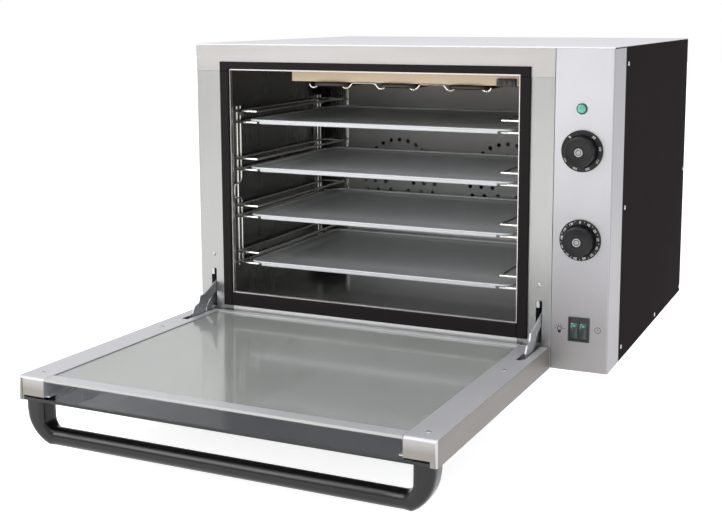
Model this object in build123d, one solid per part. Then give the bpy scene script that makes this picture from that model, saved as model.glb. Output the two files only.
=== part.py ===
"""Counter-top convection oven with a drop-down glass door and four baking trays.

Millimetres. X runs to the right, Y to the rear and Z up. The origin is the centre of the
base rim on which the oven stands. The door is stored fully open, as it hangs in use.
"""
from build123d import *
import os
from math import cos, sin, radians

# Case
case_width = 834.0
case_depth = 700.0
case_height = 572.0
sheet = 1.5                  # case sheet
bend_radius = 3.0            # outside of a visible bend
seam_bend = 1.0              # sharper bend beside a seam
seat_gap = 0.3               # between pieces that are lifted or slid in
cut_margin = 5.0             # how far a cutter runs past what it cuts
control_width = 103.0        # control panel, on the right of the front
strip_depth = 85.0           # stainless return along each side behind the front
post_left = 75.0             # front face beside the mouth
post_right = 62.0
seam_flange = 14.0           # inward folds along the seams and the rear edges
header_step = 1.0            # how far the header stands proud of the posts
hem_height = 3.0             # folded front edge of the top cover
hem_bend = 1.4
cover_skirt = 13.0           # inner skirts of the top cover
cover_skirt_inset = 6.0

# Base pan
pan_wall_height = 30.0
pan_clear = 1.0              # from the pan's rim to the folds above it
rim_width = 36.0
well_height = 14.0
foot_size = 34.0
foot_corner = 8.0
vent_length = 84.0
vent_width = 6.0
vent_pitch = 16.0
vent_count = 8
vent_column = 120.0          # from the middle to each column of slots
vent_shift = 60.0            # rearward

# Louvres in the rear panel
louvre_width = 66.0
louvre_hood = 2.0            # how far a hood overhangs its opening at each end
louvre_opening = 6.0
louvre_rise = 9.0
louvre_proud = 5.0
louvre_rows = 7
louvre_pitch = 20.0
louvre_column = 128.0
louvre_drop = 60.0           # lowest louvre below the fan axis

# Baking chamber
mouth_bottom = 75.0
mouth_below_top = 49.0
header_overlap = 4.0         # header below the upper edge of the mouth
liner = 1.2                  # chamber sheet
chamber_side_step = 13.0     # chamber wider than its mouth, each side
chamber_floor_step = 11.0
chamber_roof_step = 9.0
chamber_front = 1.5          # behind the front plane
rear_space = 154.0           # chamber's rear wall to the rear of the case
insulation_gap = 0.5
insulation_left = 22.0
insulation_right = 11.0
insulation_hinge = 10.0      # thinner beside the hinge bodies
insulation_top = 30.0
insulation_floor = 28.0
insulation_rear = 14.0
insulation_front = 12.0      # behind the front plane
bulkhead_gap = 42.0          # chamber to the bulkhead
bulkhead_front = 16.0

# Door seal around the mouth
seal_side = 19.0
seal_top = 14.0
seal_bottom = 26.0
seal_proud = 5.7
seal_round = 2.0
lip_width = 2.5
lip_proud = 1.0
lip_depth = 6.0              # behind the front sheet

# Fan wall
fan_space = 101.0            # baffle to the chamber's rear wall
baffle_gap = 52.0            # beside the baffle, where the air comes out
baffle_flange = 28.0
baffle_clear = 1.0           # to the chamber floor and roof
baffle_spacer_inset = 16.0
baffle_spacer_height = 26.0
baffle_spacer_radius = 5.0
probe_x = 148.0              # small probe hole, from the middle of the fans
probe_below_roof = 45.0
probe_radius = 4.0
fan_shift = 4.0              # fans beside the chamber's centre line
fan_spread = 3.0             # fans closer together than half the baffle
fan_below_middle = 37.0
fan_radius = 74.0
fan_hub_radius = 14.0
fan_hub_tail = 10.0
fan_blades = 10
blade_root = 22.0
blade_inset = 2.0
blade_depth = 34.0
fan_plate = 1.5
fan_behind_baffle = 26.0
shaft_radius = 4.0
shaft_ahead_of_hub = 3.0
shaft_hole_radius = 9.0
motor_radius = 44.0
motor_length = 62.0
motor_flange = 3.0
motor_flange_lip = 4.0
motor_clear = 6.0
hole_radius = 4.5
ring_radii = (86.0, 61.0, 36.0)
ring_counts = (26, 18, 10)
heater_radius = 96.0
heater_section = 7.0
heater_gap = 12.0            # half of the break in a ring, where its legs turn back
heater_behind_baffle = 36.0

# Grill element under the roof
grill_legs = 6
grill_shift = 45.0           # element to the right of the chamber's centre line
grill_pitch = 69.5
grill_tube = 8.0
grill_below_roof = 37.0
grill_front = 34.0
grill_to_baffle = 49.0
bracket_front = 40.0
bracket_from_rear = 40.0
bracket_width = 12.0
bracket_left = 50.0          # past the outermost legs
bracket_right = 62.0
bracket_tab = 10.0
clip_wire = 2.4
clip_end = 16.0
clip_shoulder = 11.0
clip_seat = 3.0
clip_drop = 1.6              # under a leg
clip_sink = 2.0

# Racks and trays
wire = 5.0
weld_bite = 0.4              # how far crossing wires sink into each other
levels = 4
first_level = 131.0          # centre of the lowest runner
top_to_grill = 79.0          # highest runner to the element
runner_rise = 22.0           # from a runner to the guard wire above it
runner_gap = 52.0            # chamber wall to the tip of a runner
rack_front = 30.0
rack_to_baffle = 21.0
upright_first = 12.0         # from an end of the runners to the nearest upright
upright_pitch = 13.5
upright_end = 8.0            # past the lowest and highest wires
loop_bulge = 28.0            # hook that is bent into one front upright
loop_rise = 30.0
loop_above_guard = 28.0
loop_radius = 11.0
stud_radius = 3.5
stud_head = 3.0
stud_head_lip = 2.5
tray_overlap = 18.0          # tray over each runner
tray_front = 23.0
tray_past_rack = 5.0         # short of the runners' rear end
tray_corner = 22.0
tray_sheet = 1.2
tray_bead = 4.0
bead_round = 1.2
tray_shift = 3.0             # as they stand in the picture, a little to the right
tray_flange = 24.0
tray_well = 7.0
tray_taper = 12.0
tray_floor_corner = 12.0

# Door
door_gap = 6.0               # front plane to the inner face of the shut door
door_thickness = 40.0
door_bottom = 4.0
door_below_top = 17.0        # upper edge of the shut door to the top of the case
rail_width = 52.0
rail_height = 31.0
rail_round = 9.5
rail_edge = 1.2
rail_corner = 5.0            # upright corners at the free end
rail_lip = 8.0               # inward flange along the foot of each rail
skirt_wrap = 11.0
door_open_angle = 88.9
pivot_behind_face = 16.0     # inside the door, from its inner face
pivot_height = 24.0
inner_glass = 4.0
outer_glass = 5.0
glass_rebate = 0.5
glass_clear = 0.5
glass_inset = 1.0            # outer glass inside the rails' ends
bedding_inset = 6.0
bedding_end = 2.0
strip_width_free = 24.0
strip_width_hinge = 13.0
strip_fold = 4.0
strip_clear = 0.8            # strip ends to the rails
swing_clear = 7.0            # glass and strip stay this far above the lower edge, to swing past the front
rail_screw_inset = 31.0
rail_screw_height = 180.0
glass_clip_reach = 9.0
glass_clip_length = 28.0
glass_clip_drop = 12.0
glass_clip_sheet = 1.5
glass_clip_from_end = 110.0

# Hinges
hinge_inset_left = 31.0      # case side to the middle of the slot
hinge_inset_right = 22.0     # seam to the middle of the slot
pin_radius = 4.0
running_fit = 0.05
hinge_plate = 3.0
plate_offset = 3.0           # from the slot's centre line to the middle of each plate
hinge_body_half = 12.0
hinge_body_depth = 168.0
hinge_body_bottom = 38.0
hinge_body_top = 166.0
hinge_hook_left = 4.5        # tongue that hooks the hinge body into the post, beside the stay
hinge_hook_height = 12.0
hinge_hook_proud = 1.6
slot_width = 11.5
slot_corner = 2.0
slot_bottom = 44.0
slot_top = 121.0
door_slot_length = 110.0
door_slot_depth = 14.0
clevis_gap = 14.0
clevis_cheek = 4.0
clevis_base = 2.0
clevis_lift = 8.0
clevis_past_pin = 12.0
stay_pivot = (-72.0, 28.0)   # from the front plane, and above the base, door open
# Outlines square to X: distance behind the front plane, and height
hinge_outline = ((60.0, 39.0), (60.0, 68.0), (-6.0, 66.0), (-28.0, 48.0), (-29.5, 31.0), (-30.5, 23.0),
                 (-26.0, 16.0), (-18.0, 16.0), (-13.5, 23.0), (-10.0, 42.0), (-4.0, 47.0), (8.0, 47.0), (20.0, 39.0))
stay_outline = ((62.0, 117.0), (-3.0, 93.5), (-47.0, 77.0), (-60.0, 76.5), (-66.0, 63.0), (-80.0, 59.0),
                (-89.0, 47.0), (-83.0, 30.0), (-80.0, 20.0), (-70.0, 17.0), (-61.0, 24.0), (-59.0, 36.0),
                (-41.0, 47.0), (-28.0, 62.0), (-1.0, 74.5), (62.0, 99.0))

# Handle
handle_tube = 30.0
handle_stand = 62.0          # outer face to the middle of the bar
handle_from_end = 28.0       # free end of the door to the middle of the bar
handle_end_width = 40.0
handle_leg = 35.0
handle_leg_outer = 7.0       # in from the door's side
elbow_reach = 74.0
elbow_radius = 75.0
elbow_start = 12.0
elbow_turn = 60.6
elbow_fillet = 15.0
elbow_round = 9.0

# Controls
knob_from_seam = 50.0
thermostat_below_top = 179.0
timer_below_top = 335.5
dial_radius = 36.5
dial_thickness = 4.0
dial_round = 1.5
knob_radius = 26.5
knob_taper = 1.5
knob_round = 2.5
knob_height = 28.0
knob_ring = 8.0
knob_ring_depth = 1.2
spindle_radius = 3.0
spindle_hole_radius = 5.0
spindle_reach = 17.0
spindle_end_gap = 1.0
thermostat_half = 22.0
thermostat_depth = 26.0
thermostat_bulb_radius = 14.0
thermostat_bulb_depth = 10.0
timer_half = 29.0
timer_depth = 30.0
bell_radius = 24.0
bell_depth = 12.0
lamp_from_knob = -2.0
lamp_below_top = 106.0
lamp_radius = 9.5
lamp_shoulder = 2.0
lamp_proud = 3.0
lamp_round = 1.2
lamp_depth = 24.0
lens_radius = 6.5
lens_top_radius = 4.5
lens_height = 2.5
switch_from_knob = 1.0
switch_z = 76.0
switch_width = 38.0
switch_height = 44.0
switch_depth = 28.0
switch_corner = 1.5
bezel = 2.0
bezel_proud = 2.5
rocker_width = 14.0
rocker_height = 34.0
rocker_well = 16.0
rocker_clear = 1.5
rocker_rib = 1.6
rocker_pivot = 6.0           # behind the front plane
rocker_pin = 1.5
rocker_pin_sink = 0.5
rocker_foot = (9.0, 4.0)     # depth of the rocker's foot, and half its height
rocker_edge = 1.0            # proud of the front plane at the ends
rocker_ridge = 3.5
rocker_tilt = 9.0

# Oven lamp
lamp_to_baffle = 73.0
lamp_below_roof = 48.0
holder_radius = 20.5
holder_depth = 34.0
holder_flange_radius = 26.0
holder_flange = 2.0
holder_clear = 0.5
holder_wool_clear = 9.5
dome_radius = 19.0
dome_height = 9.0
dome_round = 6.0

# Mains
gland_from_side = 87.0
gland_z = 62.0
gland_bore = 5.0
gland_body_radius = 8.7
gland_hole_radius = 9.0
gland_nut_radius = 13.0
gland_nut = 6.0
gland_locknut = 5.0
gland_cap = (10.5, 8.0, 12.0)    # radii at both ends, and length
gland_inside = 12.0
terminal_depth = 50.0
terminal_width = (14.0, 26.0)    # to the left and right of the gland
terminal_height = 18.0
terminal_from_rear = 60.0
terminal_lift = 2.0
terminal_pitch = 12.0
terminal_slot = 4.0
terminal_slot_depth = 6.0
terminal_ways = 4
terminal_foot = 3.0

# Fastenings
screw_head = 4.2
screw_height = 1.8
door_screw_height = 1.2
post_screw_height = 150.0
strip_screw_inset = 19.0     # from the front edge of a side panel
side_screw_middle = 412.0    # from the front plane
side_screw_rear = 10.0       # from the rear plane
side_screw_top = 32.0        # below the top
side_screw_low = 24.0
side_screw_foot = 12.0

# Places that follow from the sizes above
front = -case_depth / 2
rear = case_depth / 2
side = case_width / 2
seam = side - control_width
door_left = -side
door_right = seam
door_inner = front - door_gap
door_outer = door_inner - door_thickness
door_top = case_height - door_below_top
door_length = door_top - door_bottom
pivot_y = door_inner - pivot_behind_face
mouth_left = -side + post_left
mouth_right = seam - post_right
mouth_top = case_height - mouth_below_top
header_bottom = mouth_top - header_overlap
roof_line = case_height - sheet
panel_top = case_height - hem_height - seat_gap
panel_bottom = seat_gap
fold_bottom = pan_wall_height + pan_clear
chamber_left = mouth_left - chamber_side_step
chamber_right = mouth_right + chamber_side_step
chamber_middle = (chamber_left + chamber_right) / 2
chamber_floor = mouth_bottom - chamber_floor_step
chamber_roof = mouth_top + chamber_roof_step
chamber_rear = rear - rear_space
baffle_y = chamber_rear - fan_space
baffle_left = chamber_left + baffle_gap
baffle_right = chamber_right - baffle_gap
bulkhead_x = chamber_right + bulkhead_gap
fan_middle = chamber_middle + fan_shift
fan_pitch = (baffle_right - baffle_left) / 2 - fan_spread
fan_z = (chamber_floor + chamber_roof) / 2 - fan_below_middle
fan_front = baffle_y + fan_behind_baffle
grill_z = chamber_roof - grill_below_roof
level_pitch = (grill_z - top_to_grill - first_level) / (levels - 1)
rack_start = front + rack_front
rack_end = baffle_y - rack_to_baffle
tray_width = chamber_right - chamber_left - 2 * runner_gap + 2 * tray_overlap
tray_depth = rack_end - tray_past_rack - front - tray_front
hinge_left_x = -side + hinge_inset_left
hinge_right_x = seam - hinge_inset_right
knob_x = seam + knob_from_seam
thermostat_z = case_height - thermostat_below_top
timer_z = case_height - timer_below_top
lamp_x = knob_x + lamp_from_knob
lamp_z = case_height - lamp_below_top
switch_x = knob_x + switch_from_knob
oven_lamp_y = baffle_y - lamp_to_baffle
oven_lamp_z = chamber_roof - lamp_below_roof
gland_x = side - gland_from_side


def slab(x0, x1, y0, y1, z0, z1):
    """A box between two opposite corners."""
    size = Box(abs(x1 - x0), abs(y1 - y0), abs(z1 - z0))
    return Pos((x0 + x1) / 2, (y0 + y1) / 2, (z0 + z1) / 2) * size


def rod_x(x0, x1, y, z, radius):
    return Pos((x0 + x1) / 2, y, z) * Rot(0, 90, 0) * Cylinder(radius, abs(x1 - x0))


def rod_y(x, y0, y1, z, radius):
    return Pos(x, (y0 + y1) / 2, z) * Rot(90, 0, 0) * Cylinder(radius, abs(y1 - y0))


def rod_z(x, y, z0, z1, radius):
    return Pos(x, y, (z0 + z1) / 2) * Cylinder(radius, abs(z1 - z0))


def cone_y(x, y0, y1, z, radius, end_radius):
    """A cone along Y, with its first radius at y0."""
    cone = Cone(radius, end_radius, abs(y1 - y0), align=(Align.CENTER, Align.CENTER, Align.MIN))
    return Pos(x, y0, z) * Rot(90 if y1 < y0 else -90, 0, 0) * cone


def round_edge(solid, point, radius):
    """Round the one edge whose middle is nearest to a point."""
    edge = min(solid.edges(), key=lambda e: (e.center() - Vector(*point)).length)
    return fillet(edge, radius)


def plate_x(outline, x_middle, thickness):
    """A plate square to X, from an outline of (y, z) points."""
    face = make_face(Polyline(*[(x_middle - thickness / 2, y, z) for y, z in outline], close=True))
    return extrude(face, thickness, dir=(1, 0, 0))


def opened(solid):
    """The door is drawn shut and swung open about its pins."""
    return solid.rotate(Axis((0, pivot_y, pivot_height), (1, 0, 0)), door_open_angle)


# Case

def base_pan():
    half_x, half_y = side - sheet - seat_gap, rear - sheet - seat_gap
    pan = slab(-half_x, half_x, front + sheet + seat_gap, half_y, 0, pan_wall_height)
    pan -= slab(-half_x + sheet, half_x - sheet, front + 2 * sheet + seat_gap, half_y - sheet,
                sheet, pan_wall_height + cut_margin)
    well_x, well_y = half_x - rim_width, half_y - rim_width
    pan += slab(-well_x, well_x, -well_y, well_y, 0, well_height + sheet)
    pan -= slab(-well_x + sheet, well_x - sheet, -well_y + sheet, well_y - sheet, -cut_margin, well_height)
    for column in (-1, 1):
        for row in range(vent_count):
            x = column * vent_column
            y = (row - (vent_count - 1) / 2) * vent_pitch + vent_shift
            pan -= slab(x - vent_length / 2, x + vent_length / 2, y - vent_width / 2, y + vent_width / 2,
                        well_height - cut_margin, well_height + sheet + cut_margin)
    return pan


def rubber_feet():
    well_x = side - sheet - seat_gap - rim_width - sheet - seat_gap
    well_y = rear - sheet - seat_gap - rim_width - sheet - seat_gap
    feet = []
    for sx in (-1, 1):
        for sy in (-1, 1):
            foot = slab(sx * well_x, sx * (well_x - foot_size), sy * well_y, sy * (well_y - foot_size), 0, well_height)
            feet.append(fillet(foot.edges().filter_by(Axis.Z), foot_corner))
    return feet


def side_panel(hand):
    """Black side panel with its folded front and rear edges."""
    y0 = front + strip_depth + seat_gap
    outer, inner = hand * side, hand * (side - sheet)
    panel = slab(outer, inner, y0, rear, seat_gap, roof_line - seat_gap)
    fold = hand * (side - seam_flange)
    panel += slab(outer, fold, rear - sheet, rear, fold_bottom, roof_line - seam_flange)
    return panel


def top_cover():
    cover = slab(-side, side, front - header_step, rear, roof_line, case_height)
    cover += slab(-side, side, front - header_step, front - header_step + sheet, case_height - hem_height, case_height)
    for hand in (-1, 1):
        x1 = hand * (side - sheet - seat_gap)
        cover += slab(x1, x1 - hand * sheet, front + strip_depth + cover_skirt_inset,
                      rear - seam_flange - sheet - seat_gap, roof_line - cover_skirt, case_height)
    return round_edge(cover, (0, front - header_step, case_height), hem_bend)


def louvre(x, z):
    """One pressed hood, open below."""
    outline = [(rear, z + louvre_rise), (rear + louvre_proud, z), (rear, z)]
    return plate_x(outline, x, louvre_width + 2 * louvre_hood)


def rear_panel():
    x1 = side - seam_flange - seat_gap
    panel = slab(-x1, x1, rear - sheet, rear, seat_gap, roof_line - seat_gap)
    for column in (-1, 0, 1):
        for row in range(louvre_rows):
            x = fan_middle + column * louvre_column
            z = fan_z - louvre_drop + row * louvre_pitch
            panel -= slab(x - louvre_width / 2, x + louvre_width / 2, rear - cut_margin, rear + cut_margin,
                          z - louvre_opening, z)
            panel += louvre(x, z)
    panel -= rod_y(gland_x, rear - cut_margin, rear + cut_margin, gland_z, gland_hole_radius)
    return panel


def control_panel():
    """Folded stainless panel: the front face, the return along the side and a flange at the seam."""
    x0 = seam + seat_gap
    panel = slab(x0, side, front, front + sheet, panel_bottom, panel_top)
    panel += slab(side - sheet, side, front, front + strip_depth, panel_bottom, panel_top)
    panel += slab(x0, x0 + sheet, front, front + seam_flange, fold_bottom, panel_top)
    panel = round_edge(panel, (side, front, panel_top / 2), bend_radius)
    panel = round_edge(panel, (x0, front, panel_top / 2), seam_bend)
    y0, y1 = front - cut_margin, front + sheet + cut_margin
    for z in (thermostat_z, timer_z):
        panel -= rod_y(knob_x, y0, y1, z, spindle_hole_radius)
    panel -= rod_y(lamp_x, y0, y1, lamp_z, lamp_radius - lamp_shoulder)
    half_w, half_h = switch_width / 2 - bezel, switch_height / 2 - bezel
    return panel - slab(switch_x - half_w, switch_x + half_w, y0, y1, switch_z - half_h, switch_z + half_h)


def front_header():
    """Header plate over the mouth, with a rounded lower outer corner."""
    y0 = front - header_step
    plate = slab(-side, seam, y0, front + sheet, header_bottom, panel_top)
    plate -= slab(mouth_left, mouth_right, y0 - cut_margin, front + cut_margin, header_bottom - cut_margin, mouth_top)
    plate += slab(-side, -side + sheet, y0, front + strip_depth, header_bottom, panel_top)
    return round_edge(plate, (-side, y0, (header_bottom + panel_top) / 2), bend_radius)


def front_post_left():
    top = header_bottom - seat_gap
    post = slab(-side, mouth_left, front, front + sheet, panel_bottom, top)
    post += slab(-side, -side + sheet, front, front + strip_depth, panel_bottom, top)
    post = round_edge(post, (-side, front, top / 2), bend_radius)
    return post - hinge_slot(hinge_left_x)


def front_post_right():
    top = header_bottom - seat_gap
    post = slab(mouth_right, seam, front, front + sheet, panel_bottom, top)
    post += slab(seam - sheet, seam, front, front + seam_flange, fold_bottom, top)
    post = round_edge(post, (seam, front, top / 2), seam_bend)
    return post - hinge_slot(hinge_right_x)


def hinge_slot(x):
    slot = slab(x - slot_width / 2, x + slot_width / 2, front - cut_margin, front + cut_margin, slot_bottom, slot_top)
    return fillet(slot.edges().filter_by(Axis.Y), slot_corner)


def front_bottom_rail():
    x0, x1 = mouth_left + seat_gap, mouth_right - seat_gap
    rail = slab(x0, x1, front, front + sheet, panel_bottom, mouth_bottom)
    return rail + slab(x0, x1, front, front + seam_flange, mouth_bottom - sheet, mouth_bottom)


# Door seal

def seal_strip(x0, x1, z0, z1):
    strip = slab(x0, x1, front - seal_proud, front, z0, z1)
    return fillet(strip.edges().group_by(Axis.Y)[0], seal_round)


def door_seal():
    """Four strips around the mouth; the top and bottom ones fit between the upright ones.
    The top strip is thinner, because it lies on the header's step."""
    z0, z1 = mouth_bottom - seal_bottom, mouth_top + seal_top
    left = seal_strip(mouth_left - seal_side, mouth_left, z0, header_bottom - seat_gap)
    right = seal_strip(mouth_right, mouth_right + seal_side, z0, header_bottom - seat_gap)
    bottom = seal_strip(mouth_left, mouth_right, z0, mouth_bottom)
    top = slab(mouth_left - seal_side, mouth_right + seal_side, front - seal_proud, front - header_step,
               header_bottom - seat_gap, z1)
    top -= slab(mouth_left, mouth_right, front - seal_proud - cut_margin, front + cut_margin,
                header_bottom - cut_margin, mouth_top)
    return [left, right, bottom, fillet(top.edges().group_by(Axis.Y)[0], seal_round)]


def mouth_lip():
    """Thin bright edge of the chamber, just inside the seal."""
    y0, y1 = front - lip_proud, front + sheet + lip_depth
    x0, x1, z0, z1 = mouth_left, mouth_right, mouth_bottom, mouth_top
    return [
        slab(x0, x0 + lip_width, y0, y1, z0 + lip_width, z1 - lip_width),
        slab(x1 - lip_width, x1, y0, y1, z0 + lip_width, z1 - lip_width),
        slab(x0, x1, y0, y1, z0, z0 + lip_width),
        slab(x0, x1, y0, y1, z1 - lip_width, z1),
    ]


# Baking chamber

def chamber_wall(x0, x1):
    return slab(x0, x1, front + chamber_front, chamber_rear, chamber_floor, chamber_roof)


def chamber_left_wall():
    return chamber_wall(chamber_left - liner, chamber_left)


def chamber_right_wall():
    wall = chamber_wall(chamber_right, chamber_right + liner)
    x0, x1 = chamber_right - cut_margin, chamber_right + cut_margin
    return wall - rod_x(x0, x1, oven_lamp_y, oven_lamp_z, holder_radius + holder_clear)


def chamber_floor_plate():
    return slab(chamber_left - liner, chamber_right + liner, front + chamber_front, chamber_rear,
                chamber_floor - liner, chamber_floor)


def chamber_roof_plate():
    return slab(chamber_left - liner, chamber_right + liner, front + chamber_front, chamber_rear,
                chamber_roof, chamber_roof + liner)


def chamber_rear_wall():
    wall = slab(chamber_left - liner, chamber_right + liner, chamber_rear, chamber_rear + liner,
                chamber_floor - liner, chamber_roof + liner)
    for x in fan_places():
        wall -= rod_y(x, chamber_rear - cut_margin, chamber_rear + cut_margin, fan_z, shaft_hole_radius)
    return wall


def fan_places():
    return fan_middle - fan_pitch / 2, fan_middle + fan_pitch / 2


def insulation():
    """Mineral wool slabs around the chamber."""
    x0 = chamber_left - liner - insulation_gap
    x1 = chamber_right + liner + insulation_gap
    z0 = chamber_floor - liner - insulation_gap
    z1 = chamber_roof + liner + insulation_gap
    y0, y1 = front + insulation_front, chamber_rear
    hinge_top = hinge_body_top + insulation_hinge
    above = slab(x0, x1, y0, y1, z1, z1 + insulation_top)
    below = slab(x0, x1, y0, y1, z0 - insulation_floor, z0)
    left = slab(x0 - insulation_left, x0, y0, y1, hinge_top, z1)
    left += slab(x0 - insulation_hinge, x0, y0, y1, z0, hinge_top)
    right = slab(x1, x1 + insulation_right, y0, y1, z0, z1)
    right -= rod_x(x1 - cut_margin, x1 + insulation_right + cut_margin, oven_lamp_y, oven_lamp_z,
                   holder_radius + holder_wool_clear)
    y2 = chamber_rear + liner
    behind = slab(x0, x1, y2 + insulation_gap, y2 + insulation_rear, z0, z1)
    for x in fan_places():
        behind -= rod_y(x, y2 - cut_margin, y2 + insulation_rear + cut_margin, fan_z, motor_radius + motor_clear)
    return [above, below, left, right, behind]


def control_bulkhead():
    """Sheet between the hot side and the controls."""
    y0, y1 = front + bulkhead_front, rear - seam_flange
    z0, z1 = well_height + sheet + seat_gap, roof_line - seat_gap
    wall = slab(bulkhead_x, bulkhead_x + sheet, y0, y1, z0, z1)
    return wall + slab(bulkhead_x, bulkhead_x + seam_flange, y1 - sheet, y1, fold_bottom, z1)


# Fan wall

def fan_baffle():
    """Perforated plate in front of the two fans, folded back at both sides."""
    y0, y1 = baffle_y - cut_margin, baffle_y + liner + cut_margin
    z0, z1 = chamber_floor + baffle_clear, chamber_roof - baffle_clear
    baffle = slab(baffle_left, baffle_right, baffle_y, baffle_y + liner, z0, z1)
    for x in (baffle_left, baffle_right - liner):
        baffle += slab(x, x + liner, baffle_y, baffle_y + baffle_flange, z0, z1)
    cutters = [rod_y(fan_middle + probe_x, y0, y1, chamber_roof - probe_below_roof, probe_radius)]
    for x in fan_places():
        for radius, count in zip(ring_radii, ring_counts):
            for k in range(count):
                angle = radians(360 * (k + 0.5) / count)
                cutters.append(rod_y(x + radius * cos(angle), y0, y1, fan_z + radius * sin(angle), hole_radius))
    return baffle - cutters


def fan(x):
    """Radial impeller: a disc with straight blades in front of it, and a hub on the shaft."""
    plate_y = fan_front + blade_depth
    hub_end = plate_y + fan_hub_tail
    wheel = rod_y(x, plate_y, plate_y + fan_plate, fan_z, fan_radius)
    wheel += rod_y(x, fan_front, hub_end, fan_z, fan_hub_radius)
    blade = slab(blade_root, fan_radius - blade_inset, fan_front, plate_y, -fan_plate / 2, fan_plate / 2)
    for k in range(fan_blades):
        wheel += Pos(x, 0, fan_z) * Rot(0, 360 * k / fan_blades, 0) * blade
    return wheel - rod_y(x, fan_front - cut_margin, hub_end + cut_margin, fan_z, shaft_radius + running_fit)


def fan_motor(x):
    """Motor behind the rear wall, with its mounting flange and the shaft that carries the fan."""
    y0 = chamber_rear + liner
    y1 = y0 + motor_flange
    motor = rod_y(x, y0, y1, fan_z, motor_radius + motor_flange_lip)
    motor += rod_y(x, y1, y1 + motor_length, fan_z, motor_radius)
    return motor + rod_y(x, fan_front - shaft_ahead_of_hub, y1, fan_z, shaft_radius)


def ring_heater(x):
    """Ring element around a fan, with its two legs to the rear wall."""
    half = heater_section / 2
    y = baffle_y + heater_behind_baffle
    y0, y1 = y - half - cut_margin, y + half + cut_margin
    z = fan_z - heater_radius
    ring = rod_y(x, y - half, y + half, fan_z, heater_radius + half)
    ring -= rod_y(x, y0, y1, fan_z, heater_radius - half)
    ring -= slab(x - heater_gap, x + heater_gap, y0, y1, z - half - cut_margin, z + half + cut_margin)
    for hand in (-1, 1):
        x0 = x + hand * heater_gap
        ring += slab(x0, x0 + hand * heater_section, y - half, chamber_rear, z - half, z + half)
    return ring


# Grill element

def grill_xs():
    first = chamber_middle + grill_shift - (grill_legs - 1) / 2 * grill_pitch
    return [first + k * grill_pitch for k in range(grill_legs)]


def grill_element():
    """One tube bent to and fro under the roof, drawn with square corners."""
    y0, y1 = front + grill_front, baffle_y - grill_to_baffle
    points = []
    for k, x in enumerate(grill_xs()):
        ends = [(x, y1, grill_z), (x, y0, grill_z)]
        points += ends if k % 2 == 0 else ends[::-1]
    path = Polyline(*points)
    circle = Plane(origin=path @ 0, z_dir=path % 0) * Circle(grill_tube / 2)
    return sweep(circle, path=path, transition=Transition.RIGHT)


def grill_brackets():
    """Two strips hung from the roof; the element lies in the wire clips under each."""
    xs = grill_xs()
    x0, x1 = xs[0] - bracket_left, xs[-1] + bracket_right
    top_of_tube = grill_z + grill_tube / 2 + seat_gap
    shoulder = top_of_tube - clip_sink
    drop = grill_z - grill_tube / 2 - clip_drop
    strips = []
    for y in (front + bracket_front, baffle_y - grill_to_baffle - bracket_from_rear):
        strip = slab(x0, x1, y, y + liner, top_of_tube, top_of_tube + bracket_width)
        for x in (x0, x1 - bracket_tab):
            strip += slab(x, x + bracket_tab, y, y + liner, top_of_tube, chamber_roof)
        clip_points = [(x0 + clip_end, top_of_tube + clip_wire / 2)]
        for x in xs:
            clip_points += [(x - clip_shoulder, shoulder), (x - clip_seat, drop)]
            clip_points += [(x + clip_seat, drop), (x + clip_shoulder, shoulder)]
        clip_points.append((x1 - clip_end, top_of_tube + clip_wire / 2))
        path = Polyline(*[(x, y + liner / 2, z) for x, z in clip_points])
        ribbon = Plane(origin=path @ 0, z_dir=path % 0) * Rectangle(clip_wire, clip_wire)
        strips.append(strip + sweep(ribbon, path=path, transition=Transition.RIGHT))
    return strips


# Racks

def level_heights():
    return [first_level + k * level_pitch for k in range(levels)]


def rack(hand):
    """Welded wire rack: a runner and a guard wire for each tray, on four uprights."""
    wall = chamber_right if hand > 0 else chamber_left
    back_x = wall - hand * (wire * 1.5 + seat_gap)
    tip_x = wall - hand * (runner_gap + wire / 2)
    y0, y1 = rack_start, rack_end
    middle = (y0 + y1) / 2
    heights = level_heights()
    wires = []
    for height in heights:
        for z in (height, height + runner_rise):
            corners = [(back_x, middle, z), (back_x, y0, z), (tip_x, y0, z), (tip_x, y1, z), (back_x, y1, z)]
            path = Polyline(*corners, close=True)
            wires.append(bent_wire(path, Transition.RIGHT))
    upright_x = back_x + hand * (wire - weld_bite)
    z0, z1 = heights[0] - upright_end, heights[-1] + runner_rise + upright_end
    for y in upright_ys():
        wires.append(rod_z(upright_x, y, z0, z1, wire / 2))
    hook_y = y0 + upright_first + upright_pitch
    along, across = (0, -loop_bulge) if hand < 0 else (-loop_bulge, 0)
    hook_z = heights[1] + runner_rise + loop_above_guard
    low, high = hook_z - loop_rise / 2, hook_z + loop_rise / 2
    corners = [(upright_x, hook_y, z0), (upright_x, hook_y, low), (upright_x + along, hook_y + across, low),
               (upright_x + along, hook_y + across, high), (upright_x, hook_y, high), (upright_x, hook_y, z1)]
    hook = bent_wire(FilletPolyline(*corners, radius=loop_radius), Transition.TRANSFORMED)
    return wires[0].fuse(*wires[1:], hook)


def bent_wire(path, corner):
    return sweep(Plane(origin=path @ 0, z_dir=path % 0) * Circle(wire / 2), path=path, transition=corner)


def upright_ys():
    """The straight uprights; the second one from the front is the bent hook."""
    y0, y1 = rack_start + upright_first, rack_end - upright_first
    return y0, y1 - upright_pitch, y1


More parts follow.
